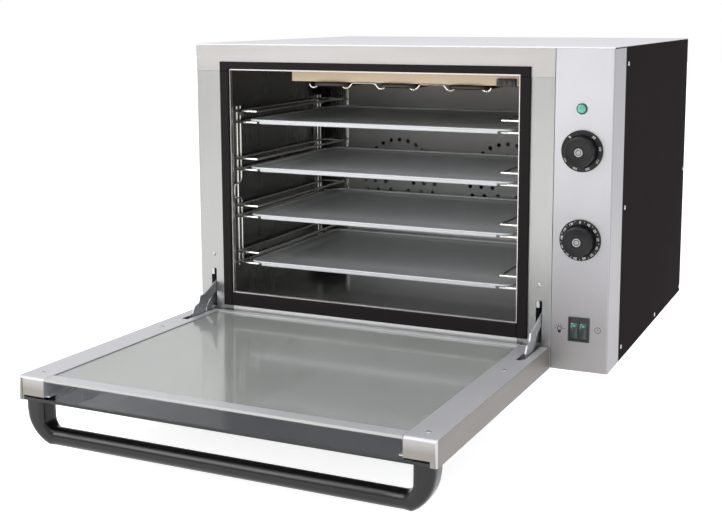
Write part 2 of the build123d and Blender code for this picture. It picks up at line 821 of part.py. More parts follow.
def chamber_studs():
    """Spacers that carry the baffle off the rear wall, and studs on the side walls under the racks' top wires."""
    studs = []
    for x in (baffle_left + baffle_spacer_inset, chamber_middle, baffle_right - baffle_spacer_inset):
        for z in (chamber_floor + baffle_spacer_height, chamber_roof - baffle_spacer_height):
            studs.append(rod_y(x, baffle_y + liner, chamber_rear, z, baffle_spacer_radius))
    z = level_heights()[-1] + runner_rise - wire / 2 - seat_gap - stud_radius
    inset = upright_first + upright_pitch / 2
    for hand, wall in ((-1, chamber_left), (1, chamber_right)):
        neck = wall - hand * 2 * (wire + seat_gap)
        head = neck - hand * stud_head
        for y in (rack_start + inset, rack_end - inset):
            studs.append(rod_x(wall, head, y, z, stud_radius) + rod_x(neck, head, y, z, stud_radius + stud_head_lip))
    return studs


# Trays

def tray(height):
    """Pressed tray: a rolled bead, a flange and a shallow tapered well."""
    top = height + wire / 2 + seat_gap + tray_bead
    centre = Pos(chamber_middle + tray_shift, front + tray_front + tray_depth / 2, top - tray_bead)
    outline = RectangleRounded(tray_width, tray_depth, tray_corner)
    inside = RectangleRounded(tray_width - 2 * tray_bead, tray_depth - 2 * tray_bead, tray_corner - tray_bead)
    bead = extrude(outline - inside, tray_bead)
    bead = fillet(bead.edges().group_by(Axis.Z)[-1], bead_round)
    well_x, well_y = tray_width - 2 * tray_flange, tray_depth - 2 * tray_flange
    inner_x, inner_y = well_x - 2 * tray_sheet, well_y - 2 * tray_sheet
    flange = extrude(outline - RectangleRounded(inner_x, inner_y, tray_corner - tray_sheet), tray_sheet)
    well = loft([
        Pos(0, 0, tray_sheet) * RectangleRounded(well_x, well_y, tray_corner),
        Pos(0, 0, tray_sheet - tray_well) * RectangleRounded(
            well_x - 2 * tray_taper, well_y - 2 * tray_taper, tray_floor_corner),
    ])
    hollow = loft([
        Pos(0, 0, tray_sheet) * RectangleRounded(inner_x, inner_y, tray_corner - tray_sheet),
        Pos(0, 0, 2 * tray_sheet - tray_well) * RectangleRounded(
            inner_x - 2 * tray_taper, inner_y - 2 * tray_taper, tray_floor_corner - tray_sheet),
    ])
    return centre * (bead + flange + (well - hollow))


# Oven lamp

def oven_lamp():
    """Lamp holder outside the right wall, with its glass cover inside the chamber."""
    lamp = rod_x(chamber_right - holder_flange, chamber_right, oven_lamp_y, oven_lamp_z, holder_flange_radius)
    return lamp + rod_x(chamber_right, chamber_right + holder_depth, oven_lamp_y, oven_lamp_z, holder_radius)


def lamp_glass():
    x = chamber_right - holder_flange
    dome = rod_x(x - dome_height, x, oven_lamp_y, oven_lamp_z, dome_radius)
    return fillet(dome.edges().group_by(Axis.X)[0], dome_round)


# Controls

def knob(z):
    """Dial skirt with a tapered cap and a sunk ring on its face."""
    y0 = front - seat_gap
    face = y0 - knob_height
    dial = rod_y(knob_x, y0, y0 - dial_thickness, z, dial_radius)
    dial = fillet(dial.edges().group_by(Axis.Y)[0], dial_round)
    cap = cone_y(knob_x, y0 - dial_thickness, face, z, knob_radius, knob_radius - knob_taper)
    body = dial + fillet(cap.edges().group_by(Axis.Y)[0], knob_round)
    body -= rod_y(knob_x, face - cut_margin, face + knob_ring_depth, z, knob_ring)
    hole_end = front - spindle_reach - spindle_end_gap
    return body - rod_y(knob_x, y0 + cut_margin, hole_end, z, spindle_radius + running_fit)


def thermostat_body():
    """Thermostat behind the panel, with its spindle."""
    z, half = thermostat_z, thermostat_half
    y0 = front + sheet
    y1 = y0 + thermostat_depth
    body = slab(knob_x - half, knob_x + half, y0, y1, z - half, z + half)
    body += rod_y(knob_x, y1, y1 + thermostat_bulb_depth, z, thermostat_bulb_radius)
    return body + rod_y(knob_x, front - spindle_reach, y1, z, spindle_radius)


def timer_body():
    """Clockwork timer behind the panel, with its spindle and bell."""
    z, half = timer_z, timer_half
    y0 = front + sheet
    y1 = y0 + timer_depth
    body = slab(knob_x - half, knob_x + half, y0, y1, z - half, z + half)
    body += rod_y(knob_x, y1, y1 + bell_depth, z, bell_radius)
    return body + rod_y(knob_x, front - spindle_reach, y1, z, spindle_radius)


def indicator_lamp():
    face = front - lamp_proud
    lens = rod_y(lamp_x, face, front, lamp_z, lamp_radius)
    lens = fillet(lens.edges().group_by(Axis.Y)[0], lamp_round)
    lens += rod_y(lamp_x, front, front + lamp_depth, lamp_z, lamp_radius - lamp_shoulder - seat_gap)
    return lens + cone_y(lamp_x, face, face - lens_height, lamp_z, lens_radius, lens_top_radius)


def switch_housing():
    """Double rocker switch: the bezel on the panel and the body behind it."""
    w, h = switch_width / 2, switch_height / 2
    body = slab(switch_x - w, switch_x + w, front - bezel_proud, front, switch_z - h, switch_z + h)
    body = fillet(body.edges().filter_by(Axis.Y), switch_corner)
    inner_w, inner_h = w - bezel - seat_gap, h - bezel - seat_gap
    body += slab(switch_x - inner_w, switch_x + inner_w, front, front + switch_depth,
                 switch_z - inner_h, switch_z + inner_h)
    well_w, well_h = rocker_width / 2 + seat_gap, rocker_height / 2 + rocker_clear
    for x in rocker_xs():
        body -= slab(x - well_w, x + well_w, front - bezel_proud - cut_margin, front + rocker_well,
                     switch_z - well_h, switch_z + well_h)
        pin = well_w + rocker_pin_sink
        body += rod_x(x - pin, x + pin, front + rocker_pivot, switch_z, rocker_pin)
    return body


def rocker_xs():
    pitch = rocker_width + 2 * seat_gap + rocker_rib
    return switch_x - pitch / 2, switch_x + pitch / 2


def rocker(x):
    """Rocker with two sloping faces, pressed in at its lower half."""
    h = rocker_height / 2
    foot_depth, foot_half = rocker_foot
    profile = [(foot_depth, -foot_half), (-rocker_edge, -h), (-rocker_ridge, 0), (-rocker_edge, h), (foot_depth, foot_half)]
    body = plate_x([(front + y, switch_z + z) for y, z in profile], x, rocker_width)
    pivot = front + rocker_pivot
    body -= rod_x(x - rocker_width, x + rocker_width, pivot, switch_z, rocker_pin + running_fit)
    return body.rotate(Axis((0, pivot, switch_z), (1, 0, 0)), -rocker_tilt)


def terminal_block():
    y1 = rear - terminal_from_rear
    y0 = y1 - terminal_depth
    x0, x1 = gland_x - terminal_width[0], gland_x + terminal_width[1]
    z0 = pan_wall_height + terminal_lift
    z1 = z0 + terminal_height
    block = slab(x0, x1, y0, y1, z0, z1)
    for k in range(terminal_ways):
        y = y0 + terminal_slot + k * terminal_pitch
        block -= slab(x0 - cut_margin, x1 + cut_margin, y, y + terminal_slot, z1 - terminal_slot_depth, z1 + cut_margin)
    return block + slab(bulkhead_x + sheet, x0, y0, y1, z0, z0 + terminal_foot)


def cable_gland():
    """Strain relief for the mains lead, in the rear panel."""
    nut = RegularPolygon(gland_nut_radius, 6)
    cap_base, cap_end, cap_length = gland_cap
    cap_y = rear + gland_nut
    gland = rod_y(gland_x, rear - gland_inside, cap_y, gland_z, gland_body_radius)
    gland += Pos(gland_x, rear, gland_z) * Rot(90, 0, 0) * extrude(nut, -gland_nut)
    gland += Pos(gland_x, rear - sheet, gland_z) * Rot(90, 0, 0) * extrude(nut, gland_locknut)
    gland += cone_y(gland_x, cap_y, cap_y + cap_length, gland_z, cap_base, cap_end)
    return gland - rod_y(gland_x, rear - gland_inside - cut_margin, cap_y + cap_length + cut_margin, gland_z, gland_bore)


# Hinges

def hinge_box(x):
    """Hinge body behind a post: two side plates, and the plate that carries the door pin."""
    y0, y1 = front + sheet + seat_gap, front + hinge_body_depth
    z0, z1 = hinge_body_bottom, hinge_body_top
    half = hinge_body_half
    box = slab(x - half, x + half, y0, y1, z0, z1)
    box -= slab(x - half + sheet, x + half - sheet, y0 - cut_margin, y1 - sheet, z0 + sheet, z1 - sheet)
    box += plate_x([(front + y, z) for y, z in hinge_outline], x - plate_offset, hinge_plate)
    hook_left, hook_right = x - hinge_hook_left, x + plate_offset - hinge_plate / 2 - seat_gap
    hook_z = slot_top - seat_gap
    box += slab(hook_left, hook_right, y0, y0 + sheet, hook_z - hinge_hook_height, z1)
    box += slab(hook_left, hook_right, front - hinge_hook_proud, y0 + sheet, hook_z - hinge_hook_height, hook_z)
    pin_half = clevis_gap / 2 + clevis_cheek
    return box + rod_x(x - pin_half, x + pin_half, pivot_y, pivot_height, pin_radius)


def stay_arm(x):
    """Bent stay between the door and the hinge body, in its place with the door open."""
    y, z = stay_pivot
    arm = plate_x([(front + a, b) for a, b in stay_outline], x + plate_offset, hinge_plate)
    return arm - rod_x(x - cut_margin, x + plate_offset + cut_margin, front + y, z, pin_radius + running_fit)


def shut_stay_pivot():
    """The stay's pin on the shut door."""
    turn = radians(-door_open_angle)
    y, z = front + stay_pivot[0] - pivot_y, stay_pivot[1] - pivot_height
    return pivot_y + y * cos(turn) - z * sin(turn), pivot_height + y * sin(turn) + z * cos(turn)


def door_clevis(x):
    """Steel clevis inside a door rail: bushes for the door pin, and the stay's pin."""
    pin_y, pin_z = shut_stay_pivot()
    y1 = door_outer + door_thickness - rail_height + sheet
    y0 = door_inner - sheet
    z0, z1 = door_bottom + sheet + clevis_lift, pin_z + clevis_past_pin
    half = clevis_gap / 2
    outer = half + clevis_cheek
    clevis = slab(x - outer, x + outer, y1, y0, z0, z1)
    clevis -= slab(x - half, x + half, y1 + clevis_base, y0 + cut_margin, z0 - cut_margin, z1 + cut_margin)
    clevis -= rod_x(x - outer - cut_margin, x + outer + cut_margin, pivot_y, pivot_height, pin_radius + running_fit)
    return opened(clevis + rod_x(x - outer, x + outer, pin_y, pin_z, pin_radius))


# Door, drawn shut

def door_rail(hand):
    """Folded side rail: a closed box, with a skirt that hides the edge of the outer glass."""
    outer = door_right if hand > 0 else door_left
    inner = outer - hand * rail_width
    x_slot = hinge_right_x if hand > 0 else hinge_left_x
    y_box = door_inner - rail_height
    rail = slab(outer, inner, y_box, door_inner, door_bottom, door_top)
    rail = round_edge(rail, ((outer + inner) / 2, door_inner, door_bottom), rail_round)
    rail = round_edge(rail, (outer, door_inner, (door_bottom + door_top) / 2), rail_edge)
    rail = round_edge(rail, (outer, (y_box + door_inner) / 2, door_top), rail_corner)
    hollow = slab(outer - hand * sheet, inner + hand * sheet, y_box + sheet, door_inner - sheet,
                  door_bottom + sheet, door_top - sheet)
    hollow = round_edge(hollow, ((outer + inner) / 2, door_inner - sheet, door_bottom + sheet), rail_round - sheet)
    rail -= round_edge(hollow, (outer - hand * sheet, (y_box + door_inner) / 2, door_top - sheet), rail_corner - sheet)
    rail += rail_skirt(hand, outer, y_box)
    rail += slab(inner, inner - hand * rail_lip, y_box, y_box + sheet, door_bottom + swing_clear, door_top - rail_corner)
    rail -= slab(x_slot - clevis_gap / 2, x_slot + clevis_gap / 2, door_inner - door_slot_depth, door_inner + cut_margin,
                 door_bottom - cut_margin, door_bottom + door_slot_length)
    return opened(rail)


def rail_skirt(hand, outer, y_box):
    """Skirt down the rail's side, which turns in round its free corner."""
    middle = (door_outer + y_box) / 2
    skirt = slab(outer, outer - hand * skirt_wrap, door_outer, y_box, door_bottom, door_top)
    skirt = round_edge(skirt, (outer, middle, door_top), rail_corner)
    inside = slab(outer - hand * sheet, outer - hand * (skirt_wrap + cut_margin), door_outer - cut_margin,
                  y_box + cut_margin, door_bottom - cut_margin, door_top - sheet)
    return skirt - round_edge(inside, (outer - hand * sheet, middle, door_top - sheet), rail_corner - sheet)


def door_bedding():
    """Black strips that bed the outer glass on the rails."""
    strips = []
    y0, y1 = door_outer + glass_rebate + outer_glass, door_inner - rail_height
    for hand, outer in ((1, door_right), (-1, door_left)):
        x0, x1 = outer - hand * (sheet + bedding_inset), outer - hand * rail_width
        strips.append(opened(slab(x0, x1, y0, y1, door_bottom + bedding_end, door_top - sheet - bedding_end)))
    return strips


def door_outer_glass():
    x0, x1 = door_left + skirt_wrap + glass_clear, door_right - skirt_wrap - glass_clear
    y0 = door_outer + glass_rebate
    return opened(slab(x0, x1, y0, y0 + outer_glass, door_bottom + glass_inset, door_top - glass_inset))


def inner_glass_levels():
    top = door_inner - sheet
    return top - inner_glass, top


def door_inner_glass():
    y0, y1 = inner_glass_levels()
    x0, x1 = door_left + rail_width, door_right - rail_width
    return opened(slab(x0, x1, y0, y1, door_bottom + swing_clear, door_top - sheet))


def door_strips():
    """Stainless strips over both ends of the inner glass; the free one is folded over its edge."""
    x0, x1 = door_left + rail_width + strip_clear, door_right - rail_width - strip_clear
    free = slab(x0, x1, door_inner - sheet, door_inner, door_top - strip_width_free, door_top)
    free += slab(x0, x1, door_inner - strip_fold, door_inner, door_top - sheet, door_top)
    hinge_end = door_bottom + swing_clear
    hinge = slab(x0, x1, door_inner - sheet, door_inner, hinge_end, hinge_end + strip_width_hinge)
    return [opened(free), opened(hinge)]


def glass_clips():
    """Clips on the rails that hold the inner glass up against the strips."""
    y0, _ = inner_glass_levels()
    clips = []
    for hand, inner in ((1, door_right - rail_width), (-1, door_left + rail_width)):
        for z in (door_bottom + glass_clip_from_end, door_bottom + door_length / 2, door_top - glass_clip_from_end):
            z0, z1 = z - glass_clip_length / 2, z + glass_clip_length / 2
            clip = slab(inner, inner - hand * glass_clip_reach, y0 - glass_clip_sheet, y0, z0, z1)
            clip += slab(inner, inner - hand * glass_clip_sheet, y0 - glass_clip_drop, y0, z0, z1)
            clips.append(opened(clip))
    return clips


def handle_middle():
    return door_outer - handle_stand, door_top - handle_from_end


def handle_bar():
    y, z = handle_middle()
    x0 = door_left + handle_leg_outer + elbow_reach
    x1 = door_right - handle_leg_outer - elbow_reach
    return opened(rod_x(x0, x1, y, z, handle_tube / 2))


def handle_end(hand):
    """Moulded elbow: a leg on the door, a long round heel and a socket for the bar."""
    bar_y, z = handle_middle()
    low = bar_y - handle_tube / 2
    high = bar_y + handle_tube / 2
    outer = (door_right if hand > 0 else door_left) - hand * handle_leg_outer
    inner = outer - hand * handle_leg
    socket = outer - hand * elbow_reach
    foot = door_outer + glass_rebate
    heel_top = door_outer - elbow_start
    heel_x = outer - hand * elbow_radius * (1 - cos(radians(elbow_turn)))
    heel_y = max(low, heel_top - elbow_radius * sin(radians(elbow_turn)))
    middle_x = outer - hand * elbow_radius * (1 - cos(radians(elbow_turn / 2)))
    middle_y = heel_top - elbow_radius * sin(radians(elbow_turn / 2))
    z0 = z - handle_end_width / 2
    wires = [
        Line((inner, foot, z0), (outer, foot, z0)),
        Line((outer, foot, z0), (outer, heel_top, z0)),
        ThreePointArc((outer, heel_top, z0), (middle_x, middle_y, z0), (heel_x, heel_y, z0)),
        Line((heel_x, heel_y, z0), (socket, heel_y, z0)),
        Line((socket, heel_y, z0), (socket, high, z0)),
        Line((socket, high, z0), (inner, high, z0)),
        Line((inner, high, z0), (inner, foot, z0)),
    ]
    end = extrude(make_face(Wire(wires)), handle_end_width, dir=(0, 0, 1))
    end = round_edge(end, (inner, high, z), elbow_fillet)
    side_edges = end.edges().group_by(Axis.Z)[0] + end.edges().group_by(Axis.Z)[-1]
    long_edges = [e for e in side_edges
                  if abs(e.center().Y - foot) > elbow_round / 2 and abs(e.center().X - socket) > elbow_round / 2]
    return opened(fillet(long_edges, elbow_round))


# Fasteners

def screw_on_x(hand, y, z):
    return rod_x(hand * side, hand * (side + screw_height), y, z, screw_head)


def case_screws():
    y0, y2 = front + strip_depth + strip_screw_inset, rear - side_screw_rear
    y1 = front + side_screw_middle
    top = case_height - side_screw_top
    middle = (top + side_screw_low) / 2
    places = [(y0, top), (y0, middle), (y0, side_screw_low), (y1, side_screw_foot), (y2, side_screw_foot), (y2, middle)]
    return [screw_on_x(hand, y, z) for hand in (-1, 1) for y, z in places]


def front_screws():
    screws = []
    for x in (hinge_left_x, hinge_right_x):
        screws.append(rod_y(x, front - screw_height, front, post_screw_height, screw_head))
    return screws


def door_screws():
    """Screws that hold the strips and the handle to the rails."""
    screws = []
    for hand, outer in ((1, door_right), (-1, door_left)):
        for z in (door_top - rail_screw_inset, door_bottom + rail_screw_height):
            x = outer - hand * rail_width / 2
            screws.append(opened(rod_y(x, door_inner, door_inner + door_screw_height, z, screw_head)))
    return screws


def build_all():
    left_fan, right_fan = fan_places()
    heights = level_heights()
    left_rocker, right_rocker = rocker_xs()
    nodes = {
        "base_pan": base_pan(),
        "rubber_feet": rubber_feet(),
        "left_side_panel": side_panel(-1),
        "right_side_panel": side_panel(1),
        "top_cover": top_cover(),
        "rear_panel": rear_panel(),
        "control_panel": control_panel(),
        "front_header": front_header(),
        "front_post_left": front_post_left(),
        "front_post_right": front_post_right(),
        "front_bottom_rail": front_bottom_rail(),
        "door_seal": door_seal(),
        "mouth_lip": mouth_lip(),
        "chamber_left_wall": chamber_left_wall(),
        "chamber_right_wall": chamber_right_wall(),
        "chamber_floor": chamber_floor_plate(),
        "chamber_roof": chamber_roof_plate(),
        "chamber_rear_wall": chamber_rear_wall(),
        "insulation": insulation(),
        "control_bulkhead": control_bulkhead(),
        "fan_baffle": fan_baffle(),
        "fan_left": fan(left_fan),
        "fan_right": fan(right_fan),
        "fan_motors": [fan_motor(left_fan), fan_motor(right_fan)],
        "ring_heaters": [ring_heater(left_fan), ring_heater(right_fan)],
        "grill_element": grill_element(),
        "grill_brackets": grill_brackets(),
        "rack_left": rack(-1),
        "rack_right": rack(1),
        "chamber_studs": chamber_studs(),
        "oven_lamp": oven_lamp(),
        "lamp_glass": lamp_glass(),
        "thermostat_body": thermostat_body(),
        "timer_body": timer_body(),
        "thermostat_knob": knob(thermostat_z),
        "timer_knob": knob(timer_z),
        "indicator_lamp": indicator_lamp(),
        "switch_housing": switch_housing(),
        "light_rocker": rocker(left_rocker),
        "power_rocker": rocker(right_rocker),
        "terminal_block": terminal_block(),
        "cable_gland": cable_gland(),
        "hinge_boxes": [hinge_box(hinge_left_x), hinge_box(hinge_right_x)],
        "stay_arm_left": stay_arm(hinge_left_x),
        "stay_arm_right": stay_arm(hinge_right_x),
        "door_rails": [door_rail(-1), door_rail(1)],
        "door_clevises": [door_clevis(hinge_left_x), door_clevis(hinge_right_x)],
        "door_outer_glass": door_outer_glass(),
        "door_inner_glass": door_inner_glass(),
        "door_strips": door_strips(),
        "door_bedding": door_bedding(),
        "glass_clips": glass_clips(),
        "handle_bar": handle_bar(),
        "handle_ends": [handle_end(-1), handle_end(1)],
        "case_screws": case_screws() + front_screws(),
        "door_screws": door_screws(),
    }
    for k, height in enumerate(heights):
        nodes[f"tray_{k + 1}"] = tray(height)
    return nodes


def main():
    os.makedirs("parts", exist_ok=True)
    for name, shape in build_all().items():
        solids = shape if isinstance(shape, list) else [shape]
        solids = [one for item in solids for one in item.solids()]
        export_step(Compound(children=solids), f"parts/{name}.step")


main()
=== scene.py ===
import bpy
import bmesh
import math
from mathutils import Matrix, Vector


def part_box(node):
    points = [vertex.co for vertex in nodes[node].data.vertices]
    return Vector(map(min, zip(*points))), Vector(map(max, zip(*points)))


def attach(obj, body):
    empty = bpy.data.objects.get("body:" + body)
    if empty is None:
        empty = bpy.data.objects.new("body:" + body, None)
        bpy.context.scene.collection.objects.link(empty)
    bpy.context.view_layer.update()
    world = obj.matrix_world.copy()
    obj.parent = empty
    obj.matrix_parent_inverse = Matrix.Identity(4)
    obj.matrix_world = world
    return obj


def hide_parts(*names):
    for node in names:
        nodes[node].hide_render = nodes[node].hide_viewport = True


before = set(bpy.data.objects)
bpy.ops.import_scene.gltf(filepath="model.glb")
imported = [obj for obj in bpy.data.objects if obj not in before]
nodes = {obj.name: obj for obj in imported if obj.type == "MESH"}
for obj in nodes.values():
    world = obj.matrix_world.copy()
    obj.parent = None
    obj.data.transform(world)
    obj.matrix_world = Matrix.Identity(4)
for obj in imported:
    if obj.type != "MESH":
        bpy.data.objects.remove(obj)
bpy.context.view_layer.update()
print("frame loaded,", len(nodes), "parts")


class Value:
    # wraps one socket, so that shader maths reads as plain arithmetic
    def __init__(self, network, socket):
        self.network = network
        self.socket = socket

    def maths(self, operation, other):
        return self.network.node("ShaderNodeMath", {"operation": operation}, {0: self, 1: other})

    def __add__(self, other):
        return self.maths("ADD", other)

    def __radd__(self, other):
        return self.maths("ADD", other)

    def __sub__(self, other):
        return self.maths("SUBTRACT", other)

    def __rsub__(self, other):
        return self.network.node("ShaderNodeMath", {"operation": "SUBTRACT"}, {0: other, 1: self})

    def __mul__(self, other):
        return self.maths("MULTIPLY", other)

    def __rmul__(self, other):
        return self.maths("MULTIPLY", other)

    def clamp(self):
        return self.maths("MINIMUM", 1.0).maths("MAXIMUM", 0.0)


class Network:
    # a node tree to which node() adds any node and feed() gives a number, a colour or a link
    def __init__(self, tree):
        self.tree = tree

    def feed(self, socket, value):
        if isinstance(value, Value):
            self.tree.links.new(value.socket, socket)
        elif socket.type == "RGBA" and len(value) == 3:
            socket.default_value = (*value, 1.0)
        else:
            socket.default_value = value

    def node(self, kind, settings=None, inputs=None, output=0):
        made = self.tree.nodes.new(kind)
        for key, value in (settings or {}).items():
            setattr(made, key, value)
        for key, value in (inputs or {}).items():
            self.feed(made.inputs[key], value)
        return Value(self, made.outputs[output])

    def seenRay(self):
        # 1 for rays from the camera, from a glossy surface or through glass
        path = self.node("ShaderNodeLightPath", output="Is Camera Ray")
        shiny = Value(self, path.socket.node.outputs["Is Glossy Ray"])
        through = Value(self, path.socket.node.outputs["Is Transmission Ray"])
        return path.maths("MAXIMUM", shiny).maths("MAXIMUM", through)


class Finish(Network):
    # one material: set() feeds the Principled shader
    def __init__(self, name):
        self.material = bpy.data.materials.new(name)
        self.material.use_nodes = True
        super().__init__(self.material.node_tree)
        self.shader = self.tree.nodes["Principled BSDF"]
        self.place = None

    def set(self, **sockets):
        for key, value in sockets.items():
            self.feed(self.shader.inputs[key.replace("_", " ")], value)

    def objectSpace(self):
        if self.place is None:
            self.place = self.node("ShaderNodeTexCoord", output="Object")
        return self.place

    def stretched(self, scale, detail, offset=(0, 0, 0)):
        # noise on a scale given per metre, drawn out where the scale is low
        mapped = self.node("ShaderNodeMapping", None,
                           {"Vector": self.objectSpace(), "Scale": scale, "Location": offset})
        return self.node("ShaderNodeTexNoise", None, {"Vector": mapped, "Scale": 1.0, "Detail": detail})

    def along(self, axis, low, high):
        # 0 to 1 between two places on an axis, in metres
        reached = self.node("ShaderNodeSeparateXYZ", None, {0: self.objectSpace()}, axis)
        return ((reached - low) * (1.0 / (high - low))).clamp()

    def mix(self, factor, first, second):
        # inputs 6 and 7 and output 2 are the ones for colours
        return self.node("ShaderNodeMix", {"data_type": "RGBA"}, {0: factor, 6: first, 7: second}, 2)

    def bump(self, height, strength, distance):
        return self.node("ShaderNodeBump", None,
                         {"Height": height, "Strength": strength, "Distance": distance})


def spread(axis, along, across):
    # noise scale with a low count along one axis and a high one across it
    return tuple(along if letter == axis else across for letter in "XYZ")


def tinted(colour, factor):
    return tuple(min(part * factor, 1.0) for part in colour)


steel = {
    "fine": (6, 1600),  # noise per metre along the grain and across it
    "broad": (1.5, 130),
    "broadFrom": (3, 1, 2),
    "cloud": (5, 5, 5),
    "cloudFrom": (7, 2, 4),
    "detail": 3,
    "fineShare": 0.7,
    "broadShare": 0.5,
    "cloudTone": 0.8,
    "cloudRoughness": 0.12,
    "streakRoughness": 3,
    "darkest": 0.5,
    "palest": 1.5,
    "bump": 0.5,
}


def brushedSteel(name, colour, grain, roughness, streak, depth=0.00004, metallic=1.0, paintedLightBands=()):
    # satin sheet: fine lines along the grain, broader streaks and a slow cloud over the whole;
    # each band of painted light and painted shade runs from another colour at one place on an axis to the
    # colour so far at the next
    finish = Finish(name)
    fine = finish.stretched(spread(grain, *steel["fine"]), steel["detail"])
    broad = finish.stretched(spread(grain, *steel["broad"]), steel["detail"], steel["broadFrom"])
    cloud = finish.stretched(steel["cloud"], steel["detail"], steel["cloudFrom"])
    lines = (fine - 0.5) * steel["fineShare"] + (broad - 0.5) * steel["broadShare"]
    tone = lines * streak + (cloud - 0.5) * (streak * steel["cloudTone"]) + 0.5
    base = finish.mix(tone, tinted(colour, steel["darkest"]), tinted(colour, steel["palest"]))
    # painted light and painted shade, in bands along an axis
    for axis, low, high, other in paintedLightBands:
        paintedTone = finish.mix(tone, tinted(other, steel["darkest"]), tinted(other, steel["palest"]))
        base = finish.mix(finish.along(axis, low, high), paintedTone, base)
    uneven = lines * (streak * steel["streakRoughness"]) + (cloud - 0.5) * steel["cloudRoughness"]
    finish.set(Base_Color=base, Metallic=metallic, Roughness=(uneven + roughness).clamp(),
               Normal=finish.bump(fine, strength=steel["bump"], distance=depth))
    return finish


def clouded(name, colour, roughness, skin, cloud, tints, uneven, bump, **others):
    # a fine noise gives the skin its bump, a slow one changes its colour and roughness
    finish = Finish(name)
    fine = finish.stretched(*skin)
    slow = finish.stretched(*cloud) if cloud else fine
    finish.set(Base_Color=finish.mix(slow, tinted(colour, tints[0]), tinted(colour, tints[1])),
               Roughness=((slow - 0.5) * uneven + roughness).clamp(), Normal=finish.bump(fine, *bump),
               **others)
    return finish


def powderCoat(name, colour, roughness, gloss=0.4):
    return clouded(name, colour, roughness, skin=((900, 900, 900), 2), cloud=((6, 6, 6), 2, (4, 4, 1)),
                   tints=(0.85, 1.2), uneven=0.15, bump=(0.35, 0.0002), Specular_IOR_Level=gloss)


def mouldedPlastic(name, colour, roughness, gloss=0.5):
    return clouded(name, colour, roughness, skin=((2500, 2500, 2500), 2), cloud=((28, 28, 28), 3, (1, 5, 2)),
                   tints=(0.9, 1.15), uneven=0.16, bump=(0.4, 0.00005), Specular_IOR_Level=gloss)


def siliconeRubber(name, colour, roughness, gloss=0.2):
    return clouded(name, colour, roughness, skin=((700, 700, 700), 3), cloud=((14, 14, 14), 4, (2, 6, 1)),
                   tints=(1.0, 1.6), uneven=0.2, bump=(0.3, 0.00015), Specular_IOR_Level=gloss)


def castMetal(name, colour, roughness, metallic=1.0):
    return clouded(name, colour, roughness, skin=((400, 400, 400), 4), cloud=None, tints=(0.8, 1.15),
                   uneven=0.25, bump=(0.3, 0.0003), Metallic=metallic)


def sheetGlass(name, colour, roughness=0.0, clear=1.0):
    # tinted by its colour and faintly smeared; where it is not clear, it is a pale cloudy sheet, which on
    # the door's inner glass is partly haze and partly a painted reflection of bright surroundings
    finish = Finish(name)
    smear = finish.stretched((9, 5, 9), detail=3, offset=(3, 3, 8))
    finish.set(Base_Color=finish.mix(smear, tinted(colour, 0.94), tinted(colour, 1.06)),
               Roughness=(smear - 0.45).clamp() * 0.12 + roughness, Transmission_Weight=clear, IOR=1.5)
    return finish


def woolFibre(name, colour):
    finish = Finish(name)
    fibre = finish.stretched((240, 240, 60), detail=5)
    finish.set(Base_Color=finish.mix(fibre, tinted(colour, 0.6), tinted(colour, 1.2)),
               Roughness=0.95, Normal=finish.bump(fibre, strength=0.8, distance=0.002))
    return finish


def lensPlastic(name, colour, deep, glow):
    # clear coloured plastic, darker towards its rim, with a little light of its own: a lamp's glow in the
    # indicator, a painted glint in the rockers
    finish = Finish(name)
    facet = finish.stretched((160, 160, 160), detail=2, offset=(2, 2, 5))
    facing = finish.node("ShaderNodeLayerWeight", None, {"Blend": 0.4}, "Facing")
    depth = (facing * 0.9 + (facet - 0.5) * 0.5).clamp()
    finish.set(Base_Color=finish.mix(depth, colour, deep), Roughness=0.12, Emission_Color=colour,
               Emission_Strength=glow, Coat_Weight=0.6)
    return finish


